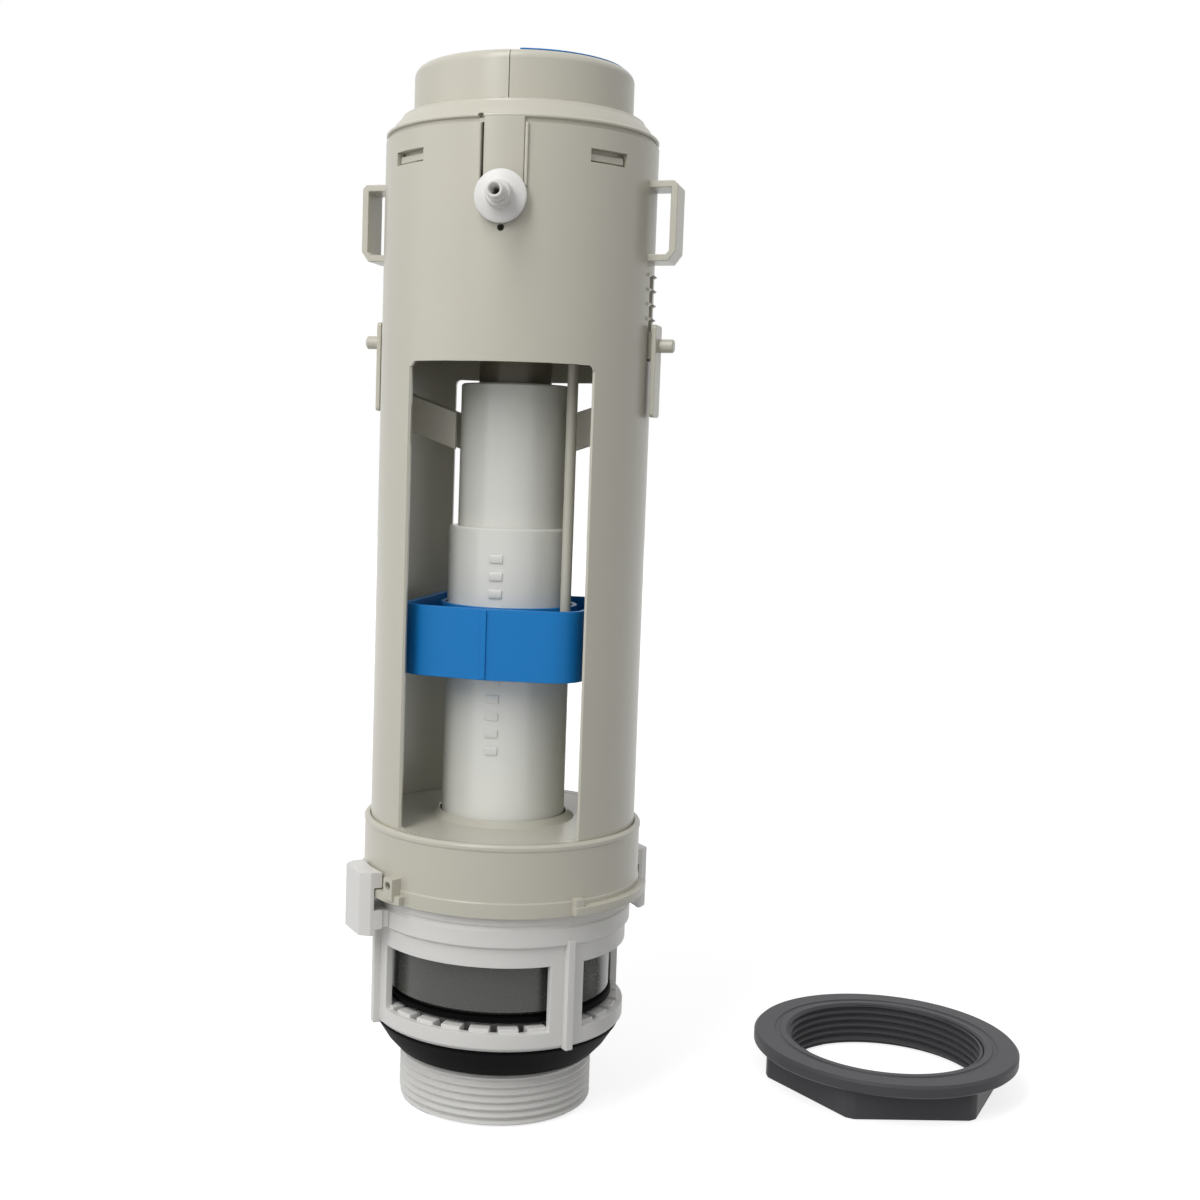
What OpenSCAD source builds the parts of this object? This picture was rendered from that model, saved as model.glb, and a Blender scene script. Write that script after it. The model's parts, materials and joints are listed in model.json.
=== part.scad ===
// Dual-flush cistern valve: a slotted basket with a threaded outlet, a tower that locks on it
// with a bayonet, an overflow tube that lifts off its seat, two push buttons with rockers,
// a half-flush float, two volume sliders, and the lock nut lying beside it.
// The origin is on the valve axis at the end of the outlet thread. +Z is up, -Y is the front.

/* [Outlet] */
// Diameter of the outlet thread over its crests
thread_d = 59.6; // [56:0.1:64]
// Free length of the outlet thread
thread_len = 16.3; // [12:0.1:40]
// Diameter of the waterway through the outlet
bore_d = 53; // [46:0.1:54]
// Diameter of the plain shank that the gasket sits on
shank_d = 58.8; // [56:0.1:59.2]
// Height of the cone gasket
gasket_h = 9.8; // [6:0.1:16]
// Diameter of the cone gasket at its wide end
gasket_d = 76; // [70:0.1:77]
// Diameter of the cone gasket at its narrow end
gasket_tip_d = 63; // [61:0.1:68]

/* [Basket] */
// Outer diameter of the slotted basket
basket_d = 78.2; // [76:0.1:79]
// Wall of the basket
basket_wall = 2.2; // [1.6:0.1:2.6]
// Thickness of the basket floor
basket_floor = 2.9; // [2:0.1:5]
// Height of the sill under the water windows
sill_h = 5.6; // [4:0.1:8]
// Height of the water windows
water_window_h = 19.7; // [12:0.1:30]
// Height of the band over the water windows
lintel_h = 6.4; // [4:0.1:10]
// Number of water windows
water_windows = 4; // [3:1:5]
// Angle that one post between two windows takes up
post_angle = 17; // [10:0.5:24]
// Turn of the first post from the front
post_turn = 39.5; // [0:0.5:60]
// How far every second post is turned back from an even spacing
post_skew = 9; // [0:0.5:12]
// Diameter of the collar that the tower stands on
collar_d = 80.6; // [80:0.1:84]
// Height of the collar
collar_h = 8.8; // [6:0.1:12]
// Height of the neck that reaches up into the tower
neck_h = 13.5; // [8:0.1:16]
// Width of the stiffening rib on a post
post_rib_w = 2.5; // [1.5:0.1:4]
// Height of the seat lip over the basket floor
seat_h = 4.2; // [3.8:0.1:8]
// Inner diameter of the seat lip
seat_d = 55.2; // [54.4:0.1:57]
// Width of the seat lip
seat_w = 2.2; // [1.5:0.1:3]
// Number of guide blocks round the seat
guide_blocks = 27; // [12:1:30]
// Height of the guide blocks
guide_block_h = 3.7; // [2:0.1:3.7]

/* [Bayonet] */
// Turn of the first latch from the front
latch_turn = -57; // [-66:0.5:-54]
// Width of a latch along the rim
latch_w = 16; // [10:0.1:16.5]
// Thickness of the latch's outer plate
latch_plate = 3.2; // [2:0.1:5]
// Height of the latch over the collar's lower edge
latch_h = 19; // [17:0.1:24]
// Width of the tower's bayonet flange
bayonet_w = 2.4; // [1.5:0.1:4]
// Thickness of the tower's bayonet flange
bayonet_t = 3; // [2:0.1:5]

/* [Tower] */
// Outer diameter of the skirt
skirt_d = 85.2; // [84.8:0.1:92]
// Height of the skirt
skirt_h = 21.4; // [20:0.1:40]
// Wall of the skirt
skirt_wall = 2.2; // [1.8:0.1:2.2]
// Outer diameter of the shell
shell_d = 81.2; // [80:0.1:81.4]
// Wall of the shell
shell_wall = 2.2; // [1.6:0.1:2.6]
// Length of the shell
shell_len = 203.4; // [200:0.1:240]
// Depth of the groove that the shell's foot stands in
foot_groove = 2; // [1:0.1:3]
// Width of the front and rear windows
tower_window_w = 51.8; // [30:0.1:56]
// Height of the front and rear windows
tower_window_h = 136.4; // [126:0.1:138]
// Corner radius of the windows
tower_window_r = 2.5; // [0.5:0.1:6]
// How much closer the rear window's sides and top stand
rear_window_inset = 2.4; // [0:0.1:5]
// Height of the boss that guides the overflow tube through the floor
guide_boss_h = 1.9; // [0.5:0.1:4]

/* [Head] */
// Height of the cone between the shell and the buttons
shoulder_h = 7.7; // [6:0.1:14]
// Depth of the deck under the shell's top edge
deck_drop = 9.7; // [9:0.1:14]
// Thickness of the deck
deck_t = 2; // [1.5:0.1:3]
// Wall of the cover
cover_wall = 1.8; // [1.2:0.1:2.2]
// Width of the cover's tongue down the front
tongue_w = 11; // [9.6:0.1:14]
// Length of the tongue below the shell's top edge
tongue_len = 25.8; // [25:0.1:32]
// Depth of the hose nozzle's axis below the shell's top edge
nozzle_drop = 20.3; // [18:0.1:22]
// Diameter of the hose nozzle's disc
nozzle_disc_d = 14; // [13:0.1:16]
// Diameter of the hose spigot
spigot_d = 4.8; // [4:0.1:6]
// Length of the hose spigot's slim end
spigot_len = 6.5; // [4:0.1:10]
// Diameter of the spigot's water hole
spigot_bore_d = 2.8; // [2:0.1:3.2]

/* [Buttons] */
// Diameter across the two buttons
button_d = 65.2; // [62:0.1:68]
// Height of the button tops above the shell's top edge
button_rise = 21.8; // [21:0.1:30]
// Height of a button's side wall
button_h = 18; // [16:0.1:21]
// Wall of a button
button_wall = 1.8; // [1.2:0.1:2]
// Edge radius of a button
button_edge = 2.8; // [0.5:0.1:3]
// Gap between the two buttons
button_split = 0.7; // [0.6:0.1:1.5]
// Height of the coloured pad on the half-flush button
pad_h = 1.2; // [0.6:0.1:3]
// Diameter of a button's foot
foot_d = 5.6; // [4:0.1:6]

/* [Rockers] */
// Depth of the rocker pivots below the deck
pivot_drop = 16; // [15.5:0.1:18]
// Diameter of a rocker pin
pin_d = 3.6; // [2.5:0.1:3.8]
// Lift of the overflow tube in a full flush
flush_lift = 10; // [6:0.1:10]
// Lift of the float in a half flush
float_lift = 9; // [5:0.1:9]
// Arm of the full-flush rocker on the stem's side
full_lift_arm = 14; // [13:0.1:15]
// Arm of the full-flush rocker on the button's side
full_push_arm = 12; // [10:0.1:12]
// Arm of the half-flush rocker on the float's side
half_lift_arm = 13; // [12:0.1:13.5]
// Arm of the half-flush rocker on the button's side
half_push_arm = 12; // [10:0.1:12]
// Distance of the half-flush rocker's middle plane from the valve axis
half_rocker_x = 23; // [22.5:0.1:23.5]
// Radius of a rocker's nose
nose_r = 2.4; // [1.5:0.1:2.6]

/* [Overflow] */
// Outer diameter of the lower tube
lower_tube_d = 37.8; // [36:0.1:38]
// Length of the lower tube
lower_tube_len = 145.8; // [135:0.1:152]
// Wall of the lower tube
lower_tube_wall = 1.8; // [1.2:0.1:1.8]
// Outer diameter of the upper tube
upper_tube_d = 32.5; // [31:0.1:32.6]
// Length of the upper tube
upper_tube_len = 79.7; // [70:0.1:90]
// Wall of the upper tube
upper_tube_wall = 1.6; // [1.2:0.1:2]
// Part of the upper tube that stands out of the lower one
upper_tube_show = 42.7; // [34:0.1:43]
// Diameter of the lift stem's head
stem_d = 22; // [16:0.1:23]
// Diameter of the seal carrier
carrier_d = 69; // [66:0.1:70]
// Height of the seal carrier
carrier_h = 26.3; // [18:0.1:30]
// Diameter of the main seal
seal_d = 70.6; // [70.4:0.1:72]
// Thickness of the main seal
seal_t = 2.2; // [1.5:0.1:3]
// Thickness of the ring that holds the main seal
retainer_t = 2.2; // [1:0.1:2.3]
// Outer diameter of the ring that holds the main seal
retainer_d = 51.2; // [46:0.1:52]

/* [Float] */
// Width of the float cup
float_w = 55; // [50:0.1:57]
// Corner radius of the float cup
float_r = 10; // [6:0.1:16]
// How far the float cup's front bulges at its seam
float_ridge = 2.2; // [0:0.1:3]
// Height of the float cup
float_h = 20.8; // [14:0.1:30]
// Wall of the float cup
float_wall = 1.6; // [1.2:0.1:2]
// Height of the float cup over the tower's floor
float_stand = 45.2; // [12:0.1:60]
// Turn of the float cup from the front
float_turn = -6; // [-8:0.5:2]
// Diameter of the float's link rod
link_d = 3.2; // [2:0.1:3.4]

/* [Sliders] */
// Width of a volume slider
slider_w = 9; // [6:0.1:10]
// Length of a volume slider
slider_len = 27; // [20:0.1:27.5]
// Drop from the loop to the top of a slider that is slid all the way up
slider_start = 2; // [1:0.1:6]
// Travel of a volume slider
slider_travel = 16; // [8:0.1:17]
// Thickness of a slider's plate
slider_t = 1.4; // [1:0.1:2]
// Length of a slider's finger pin
slider_pin_len = 4.6; // [3:0.1:8]
// Spacing of the rack teeth
rack_pitch = 4.2; // [3:0.1:6]
// Height of the loops over the racks
loop_h = 23; // [16:0.1:23.5]
// Stand-off of the loops from the shell
loop_reach = 7.8; // [7.5:0.1:10]
// Thickness of the loops
loop_t = 2; // [1.5:0.1:2.5]
// Turn of the loops, racks and sliders from the line across the windows
side_turn = 8; // [0:0.5:10]

/* [Lock nut] */
// Diameter of the nut's flange
nut_flange_d = 84; // [80:0.1:92]
// Thickness of the nut's flange
nut_flange_t = 4; // [3:0.1:6]
// Height of the nut
nut_h = 14; // [10:0.1:20]
// Distance across the nut's corners
nut_corners = 78; // [74:0.1:80]
// Turn of the nut's corners
nut_turn = 10; // [0:1:59]
// Distance of the nut to the right of the valve
nut_x = 123; // [100:1:160]
// Distance of the nut behind the valve's middle plane
nut_y = 35; // [-60:1:60]

/* [Fits] */
// Gap between a piece and the seat it rests on
rest_gap = 0.3; // [0.2:0.05:0.4]
// Radial gap of a piece that slides in another
slide_gap = 0.5; // [0.3:0.05:0.5]
// Radial gap of a pin or tube that runs in its hole
run_gap = 0.08; // [0.03:0.01:0.1]
// Radial gap between pieces that are fixed together
fix_gap = 0.1; // [0.05:0.01:0.15]
// Radial gap between the outlet thread and the nut
nut_gap = 0.2; // [0.1:0.05:0.4]

/* [Hidden] */
$fn = 96;
cut = 1;

// Radii
thread_r = thread_d / 2;
bore_r = bore_d / 2;
shank_r = shank_d / 2;
basket_r = basket_d / 2;
basket_in_r = basket_r - basket_wall;
collar_r = collar_d / 2;
skirt_r = skirt_d / 2;
skirt_in_r = skirt_r - skirt_wall;
neck_r = min(skirt_in_r - slide_gap, collar_r - rest_gap);
neck_in_r = neck_r - basket_wall;
seat_r = seat_d / 2;
shell_r = shell_d / 2;
shell_in_r = shell_r - shell_wall;
lower_tube_r = lower_tube_d / 2;
lower_tube_in_r = lower_tube_r - lower_tube_wall;
upper_tube_r = upper_tube_d / 2;
upper_tube_in_r = upper_tube_r - upper_tube_wall;
floor_hole_r = lower_tube_r + slide_gap;
carrier_r = carrier_d / 2;
stem_r = stem_d / 2;
button_r = button_d / 2;
pin_r = pin_d / 2;
foot_r = foot_d / 2;
link_r = link_d / 2;

// Heights, from the end of the outlet upwards
loop_drop = 1;
basket_z = thread_len + gasket_h;
basket_floor_z = basket_z + basket_floor;
seat_z = basket_floor_z + seat_h;
seal_z = seat_z + rest_gap;
carrier_z = seal_z + seal_t;
water_window_z = basket_z + sill_h;
collar_z = water_window_z + water_window_h + lintel_h;
collar_top_z = collar_z + collar_h;
skirt_z = collar_top_z + rest_gap;
rim_z = skirt_z + skirt_h;
shell_z = rim_z - foot_groove;
shell_top_z = shell_z + shell_len;
tower_window_top_z = rim_z + tower_window_h;
rear_window_h = tower_window_h - rear_window_inset;
deck_top_z = shell_top_z - deck_drop;
deck_z = deck_top_z - deck_t;
pivot_z = deck_z - pivot_drop;
nozzle_z = shell_top_z - nozzle_drop;
button_top_z = shell_top_z + button_rise;
lower_tube_z = seal_z - retainer_t;
lower_tube_top_z = lower_tube_z + lower_tube_len;
upper_tube_top_z = lower_tube_top_z + upper_tube_show;
upper_tube_z = upper_tube_top_z - upper_tube_len;
float_z = rim_z + float_stand;
loop_top_z = deck_top_z - loop_drop;
loop_z = loop_top_z - loop_h;
slider_z = loop_z - slider_start - slider_travel - slider_len;

// Tower floor
floor_t = 2.2;
floor_z = rim_z - floor_t;
groove_floor = 2.3;
groove_z = shell_z - groove_floor;
groove_gap = 0.25;
groove_in_r = shell_in_r - groove_gap;
groove_out_r = shell_r + fix_gap;
groove_web = 2.2;
groove_lip = 1.8;
skirt_rim_r = max(skirt_r, groove_out_r + groove_lip);
guide_boss_w = 2.6;

// Bayonet
bayonet_r = skirt_r + bayonet_w;
latch_in_r = bayonet_r + slide_gap;
latch_r = latch_in_r + latch_plate;
latch_foot_h = 5.7;
latch_below = 1.8;
latch_top_z = collar_z - latch_below + latch_h;
latch_hook_gap = 0.4;
latch_hook_z = skirt_z + bayonet_t + latch_hook_gap;
latch_hook_r = skirt_r + slide_gap;
latch_facet = 2.2;
catch_lead = 5;
catch_tail = 29;
guide_from = 94;
guide_angle = 55;
flange_lift = 0.4;
lug_w = 4;
lug_h = 8;
lug_out = 0.8;
lug_hole_d = 2.2;

// Posts, guide blocks and ribs of the basket, and the edge of its gasket
gasket_edge = 1;
function post_at(i) =
    let (n = i % water_windows)
    post_turn + floor(i / water_windows) * 360 + n * 360 / water_windows - n % 2 * post_skew;
guide_block_w = 6;
guide_block_deep = 3.6;
post_rib_out = 1.9;
post_rib_below = 1.6;

// Snap tabs and tongue of the cover
snap_turn = 45;
snap_w = 12.6;
snap_h = 3.2;
snap_rise = 0.6;
snap_z = deck_top_z + snap_rise;
snap_gap = 0.3;
snap_out = 1.5;
cover_gap = 0.2;
cover_r = shell_in_r - cover_gap;
cover_in_r = cover_r - cover_wall;
shoulder_lip = 1.4;
shoulder_top_z = shell_top_z + shoulder_h;
shoulder_wall = 1.8;
button_hole_r = button_r + slide_gap;
tongue_gap = 0.5;

// Hose nozzle, measured outwards along the front from the valve axis
nozzle_seal_t = 0.85;
nozzle_seat = shell_r + fix_gap;
nozzle_disc_in = nozzle_seat + nozzle_seal_t;
nozzle_disc_t = 2;
nozzle_shank_r = 4;
nozzle_flange_r = 5.4;
nozzle_flange_t = 1.8;
nozzle_flange_gap = 0.5;
nozzle_flange_out = shell_in_r - nozzle_flange_gap;
nozzle_snout_r = 3;
nozzle_snout_len = 3;
nozzle_snout_in = nozzle_flange_out - nozzle_flange_t - nozzle_snout_len;
nozzle_seal_r = nozzle_disc_d / 2 - 0.8;
spigot_base_r = 3.6;
spigot_base_len = 4.4;

// Float cup and the foot of its link rod, which stands beside the sleeve
float_sleeve_r = lower_tube_r + slide_gap;
float_sleeve_wall = 1.5;
float_seam_w = 1.6;
float_seam_out = 0.7;
half_rocker_w = 4.2;
link_side_gap = 0.5;
link_foot_w = 0.8;
link_foot_r = link_r + link_foot_w;
link_foot_h = 3;
link_ring_r = float_sleeve_r + float_sleeve_wall + link_foot_r + fix_gap;
link_x = half_rocker_x - half_rocker_w / 2 - link_r - link_side_gap;
link_y = -sqrt(link_ring_r * link_ring_r - link_x * link_x);

// Rocker geometry: a rocker swings by equal angles below and above the level
full_half_swing = flush_lift / full_lift_arm * 90 / PI;
half_half_swing = float_lift / half_lift_arm * 90 / PI;
full_pivot_x = -full_lift_arm;
link_overhang = 0.8;
half_nose_y = link_y + link_overhang;
half_pivot_y = half_nose_y + half_lift_arm * cos(half_half_swing);
boss_wall = 2.2;
boss_r = pin_r + boss_wall;
rocker_bar = 3;
fork_gap = 0.6;
fork_in = stem_r + fork_gap;
fork_w = 3;
lug_t = 2.6;
fork_boss = 2.6;
full_lug_in = fork_in + fork_w + fork_boss;
half_boss_out = 1.4;
half_boss_w = half_rocker_w + half_boss_out;
half_lug_in = half_boss_w / 2 + rest_gap;
full_nose_x = full_pivot_x + full_lift_arm * cos(full_half_swing);
full_nose_z = pivot_z - full_lift_arm * sin(full_half_swing);
full_push_x = full_pivot_x - full_push_arm * cos(full_half_swing);
full_push_z = pivot_z + full_push_arm * sin(full_half_swing);
half_nose_z = pivot_z - half_lift_arm * sin(half_half_swing);
half_push_y = half_pivot_y + half_push_arm * cos(half_half_swing);
half_push_z = pivot_z + half_push_arm * sin(half_half_swing);
crossbar_arm = 5;
crossbar_x = full_pivot_x - crossbar_arm;
crossbar_r = 2.1;
push_pad = 1;

// Lift stem
stem_cross_z = full_nose_z + nose_r + rest_gap;
stem_cross_t = 3;
stem_cross_w = 6;
stem_cross_out = 1.8;
stem_cross_r = fork_in + fork_w + stem_cross_out;
stem_rod_r = 4;
stem_head_sink = 13;
stem_head_z = upper_tube_top_z - stem_head_sink;
stem_foot_rise = 68;
stem_foot_z = lower_tube_z + stem_foot_rise;
stem_foot_h = 8;
stem_leg_w = 2.4;
stem_legs = 3;

// Upper tube foot and its ring
guide_lip = 4;
tube_foot_h = 4;
tube_foot_gap = 0.2;
tube_foot_r = lower_tube_in_r - tube_foot_gap;
o_ring_wire_r = 0.6;
o_ring_out = 0.1;
o_ring_gap = 0.05;
o_ring_r = tube_foot_r - o_ring_wire_r + o_ring_out;
o_ring_groove_r = o_ring_r - o_ring_wire_r - o_ring_gap;
o_ring_groove_w = 2 * o_ring_wire_r + 4 * o_ring_gap;
carrier_wall = 2;
carrier_web = 2.2;
carrier_hub_wall = 1.6;
carrier_hub_h = 14;

// Lug of the float's link over the half-flush rocker
link_lug_z = half_nose_z + nose_r + rest_gap;
link_lug_t = 3;
link_lug_w = 5;

// Sliders, racks, loops and tube guides of the shell
rack_out = 1;
rack_w = 2.2;
rack_tooth = 2.2;
slot_w = 4.8;
slider_neck_h = 8;
slider_neck_drop = 2;
rack_gap = 0.4;
slider_in = shell_r + rack_out + rack_gap;
slider_pin_r = 2;
gate_t = 1.6;
gate_h = 16;
gate_gap = 0.3;
gate_out = sqrt(shell_in_r * shell_in_r - slider_w * slider_w / 4) - gate_gap;
loop_w = 12;
rack_start = 0.6;
rack_z = slider_z + slider_len + rack_start;
rack_count = floor((loop_z - rack_z) / rack_pitch);
guide_rib_t = 2;
guide_rib_gap = 0.6;
guide_rib_in = slider_w / 2 + guide_rib_gap;
guide_rib_r = upper_tube_r + slide_gap;
guide_rib_drop = 5.8;
guide_rib_top = tower_window_top_z - guide_rib_drop;
guide_rib_slope = 8;
guide_rib_h = 11;

// Lock nut
nut_round = 1.6;

// Buttons
pad_inset = 2.1;
foot_hole_r = foot_r + slide_gap;
button_top_t = 2.4;
spring_wire_r = 0.45;
spring_gap = 0.7;
spring_r = foot_r + spring_wire_r + spring_gap;
spring_turns = 6;
spring_steps = 14;
spring_sides = 6;
spring_end = 0.2;

// Turns its children so that the front, -Y, faces the given angle to the right of the front
module at(angle) {
    rotate([0, 0, angle]) children();
}

// Solid of revolution about the valve axis from a profile of radius and height
module turned(profile) {
    rotate_extrude() polygon(profile);
}

// Part of a ring between two angles from the front
module arc_bar(out_r, in_r, low, high, from, angle) {
    rotate([0, 0, from - 90])
        rotate_extrude(angle = angle)
            translate([in_r, low]) square([out_r - in_r, high - low]);
}

// Box at the front: its width across, its reach from one distance to another, and its heights
module front_box(width, near, far, low, high) {
    translate([-width / 2, -far, low]) cube([width, far - near, high - low]);
}

// Solid of revolution about the horizontal axis that leaves the front at a height
module front_turned(height, profile) {
    translate([0, 0, height]) rotate([90, 0, 0]) rotate_extrude() polygon(profile);
}

// Flat outline of a square with round corners, centred
module round_square(width, height, radius) {
    square([width - 2 * radius, height], center = true);
    square([width, height - 2 * radius], center = true);
    for (x = [-1, 1], y = [-1, 1])
        translate([x * (width / 2 - radius), y * (height / 2 - radius)]) circle(radius);
}

// Flat bar from one point to another
module bar(from, to, width) {
    step = to - from;
    translate(from)
        rotate(atan2(step[1], step[0]))
            translate([0, -width / 2]) square([norm(step), width]);
}

// Coil of round wire: rings of points along a helix, closed by a fan at each end
function coil_ring(turn, radius, wire, height, turns) =
    [for (side = [0:spring_sides - 1])
        let (a = side * 360 / spring_sides, r = radius + wire * cos(a), t = turn * 360)
        [r * cos(t), r * sin(t), wire + (height - 2 * wire) * turn / turns + wire * sin(a)]];

module coil(radius, wire, height, turns) {
    rings = turns * spring_steps;
    points = [for (i = [0:rings]) each coil_ring(i / spring_steps, radius, wire, height, turns)];
    sides = [for (i = [0:rings - 1], s = [0:spring_sides - 1])
        let (n = (s + 1) % spring_sides, low = i * spring_sides, high = low + spring_sides)
        [low + s, high + s, high + n, low + n]];
    first = [for (s = [0:spring_sides - 1]) s];
    last = [for (s = [spring_sides - 1:-1:0]) rings * spring_sides + s];
    polyhedron(points, concat(sides, [first], [last]), convexity = 10);
}

module latch() {
    foot_z = collar_z - latch_below;
    difference() {
        union() {
            linear_extrude_between(foot_z, latch_top_z) latch_outline();
            front_box(latch_w, collar_r - cut, latch_in_r + cut, collar_z, collar_z + latch_foot_h);
        }
        round_core(latch_in_r, collar_z + latch_foot_h, latch_hook_z);
        round_core(latch_hook_r, latch_hook_z - cut, latch_top_z + cut);
        round_core(latch_in_r, foot_z - cut, collar_z);
    }
}

// Outline of a latch from above, with its faceted outer face
module latch_outline() {
    polygon([[-latch_w / 2, -skirt_r], [-latch_w / 2, -latch_r + latch_facet],
             [-latch_w / 4, -latch_r], [latch_w / 4, -latch_r],
             [latch_w / 2, -latch_r + latch_facet], [latch_w / 2, -skirt_r]]);
}

module linear_extrude_between(low, high) {
    translate([0, 0, low]) linear_extrude(high - low) children();
}

// Round solid about the valve axis between two heights
module round_core(radius, low, high) {
    translate([0, 0, low]) cylinder(r = radius, h = high - low);
}

module basket() color("whitesmoke") {
    difference() {
        turned([[bore_r, 0], [thread_r, 0], [thread_r, thread_len], [shank_r, thread_len],
                [shank_r, basket_z], [basket_r, basket_z], [basket_r, collar_z],
                [collar_r, collar_z], [collar_r, collar_top_z], [neck_r, collar_top_z],
                [neck_r, collar_top_z + neck_h], [neck_in_r, collar_top_z + neck_h],
                [neck_in_r, collar_z + basket_wall], [basket_in_r, collar_z],
                [basket_in_r, basket_floor_z], [seat_r + seat_w, basket_floor_z],
                [seat_r + seat_w, seat_z], [seat_r, seat_z], [seat_r, basket_floor_z],
                [bore_r, basket_floor_z]]);
        for (i = [0:water_windows - 1])
            arc_bar(basket_r + cut, basket_in_r - cut, water_window_z, water_window_z + water_window_h,
                    post_at(i) + post_angle / 2, post_at(i + 1) - post_at(i) - post_angle);
    }
    for (i = [0:water_windows - 1])
        at(post_at(i))
            front_box(post_rib_w, basket_r - cut, basket_r + post_rib_out,
                      basket_z - post_rib_below, collar_z + cut);
    for (i = [0:guide_blocks - 1])
        at(i * 360 / guide_blocks)
            front_box(guide_block_w, basket_in_r - guide_block_deep, basket_in_r + cut / 2,
                      basket_floor_z - cut, basket_floor_z + guide_block_h);
    for (i = [0, 1])
        at(latch_turn + i * 180) latch();
}

module cone_gasket() color("black") {
    turned([[shank_r + fix_gap, thread_len], [gasket_tip_d / 2, thread_len],
            [gasket_d / 2, basket_z - gasket_edge], [gasket_d / 2, basket_z], [shank_r + fix_gap, basket_z]]);
}

module bayonet_skirt() color("tan") {
    flare = skirt_rim_r > skirt_r ? [[skirt_r, groove_z], [skirt_rim_r, groove_z]] : [];
    turned([[skirt_in_r, skirt_z], [skirt_r, skirt_z], each flare,
            [skirt_rim_r, rim_z], [groove_out_r, rim_z],
            [groove_out_r, shell_z], [groove_in_r, shell_z], [groove_in_r, rim_z],
            [floor_hole_r + guide_boss_w, rim_z], [floor_hole_r + guide_boss_w, rim_z + guide_boss_h],
            [floor_hole_r, rim_z + guide_boss_h], [floor_hole_r, floor_z],
            [groove_in_r - groove_web, floor_z], [groove_in_r - groove_web, groove_z],
            [skirt_in_r, groove_z]]);
    for (i = [0, 1]) {
        arc_bar(bayonet_r, skirt_r - cut, skirt_z + flange_lift, skirt_z + bayonet_t,
                latch_turn - catch_lead + i * 180, catch_tail);
        arc_bar(bayonet_r, skirt_r - cut, skirt_z + flange_lift, skirt_z + bayonet_t,
                latch_turn + guide_from + i * 180, guide_angle);
        at(latch_turn - catch_lead + catch_tail + i * 180) bayonet_lug();
    }
}

// Stop lug at the end of a bayonet flange
module bayonet_lug() {
    difference() {
        translate([-lug_w, 0, 0])
            front_box(lug_w, skirt_r - cut, bayonet_r + lug_out,
                      skirt_z + bayonet_t / 2, skirt_z + lug_h);
        translate([-lug_w, 0, skirt_z + lug_h - lug_hole_d])
            rotate([90, 0, 0]) cylinder(d = lug_hole_d, h = bayonet_r + lug_out + cut);
    }
}

module tower_shell() color("tan") {
    difference() {
        turned([[shell_in_r, shell_z], [shell_r, shell_z], [shell_r, shell_top_z],
                [shell_in_r, shell_top_z]]);
        translate([0, 0, rim_z + tower_window_h / 2])
            rotate([90, 0, 0]) linear_extrude(shell_d)
                round_square(tower_window_w, tower_window_h, tower_window_r);
        translate([0, shell_d, rim_z + rear_window_h / 2])
            rotate([90, 0, 0]) linear_extrude(shell_d)
                round_square(tower_window_w - 2 * rear_window_inset, rear_window_h, tower_window_r);
        front_box(tongue_w + 2 * tongue_gap, shell_in_r / 2, shell_r + cut,
                  shell_top_z - tongue_len - tongue_gap, shell_top_z + cut);
        for (side = [-1, 1]) {
            at(side * snap_turn)
                front_box(snap_w + 2 * snap_gap, shell_in_r - cut, shell_r + cut,
                          snap_z - snap_gap, snap_z + snap_h + snap_gap);
            at(side * 90 - side_turn)
                front_box(slot_w, shell_in_r - cut, shell_r + cut,
                          slider_z + slider_len - slider_neck_drop - slider_neck_h - slide_gap,
                          slider_z + slider_len - slider_neck_drop + slider_travel + slide_gap);
        }
    }
    for (side = [-1, 1]) {
        at(side * 90 - side_turn) {
            side_loop();
            side_rack();
        }
        at(side * 90) tube_guide();
    }
}

// Loop that stands off the shell
module side_loop() {
    front_box(loop_w, shell_r - cut, shell_r + loop_reach, loop_z, loop_z + loop_t);
    front_box(loop_w, shell_r - cut, shell_r + loop_reach, loop_top_z - loop_t, loop_top_z);
    front_box(loop_w, shell_r + loop_reach - loop_t, shell_r + loop_reach, loop_z, loop_top_z);
}

// Two columns of pointed teeth beside a slider's slot
module side_rack() {
    for (i = [0:rack_count - 1], side = [-1, 1])
        translate([side * (slot_w + rack_w) / 2 - rack_w / 2, 0, rack_z + i * rack_pitch])
            rotate([90, 0, 90]) linear_extrude(rack_w)
                polygon([[-shell_r + cut, 0], [-shell_r, 0], [-shell_r - rack_out, rack_tooth / 2],
                         [-shell_r, rack_tooth], [-shell_r + cut, rack_tooth]]);
}

// Pair of ribs that steady the upper tube
module tube_guide() {
    difference() {
        for (side = [-1, 1])
            translate([side * (guide_rib_in + guide_rib_t / 2) - guide_rib_t / 2, 0, guide_rib_top])
                rotate([90, 0, 90]) linear_extrude(guide_rib_t)
                    polygon([[-shell_in_r, 0], [-shell_in_r, -guide_rib_h],
                             [-upper_tube_in_r, -guide_rib_h - guide_rib_slope],
                             [-upper_tube_in_r, -guide_rib_slope]]);
        round_core(guide_rib_r, guide_rib_top - 2 * guide_rib_h - guide_rib_slope, guide_rib_top + cut);
    }
}

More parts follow.
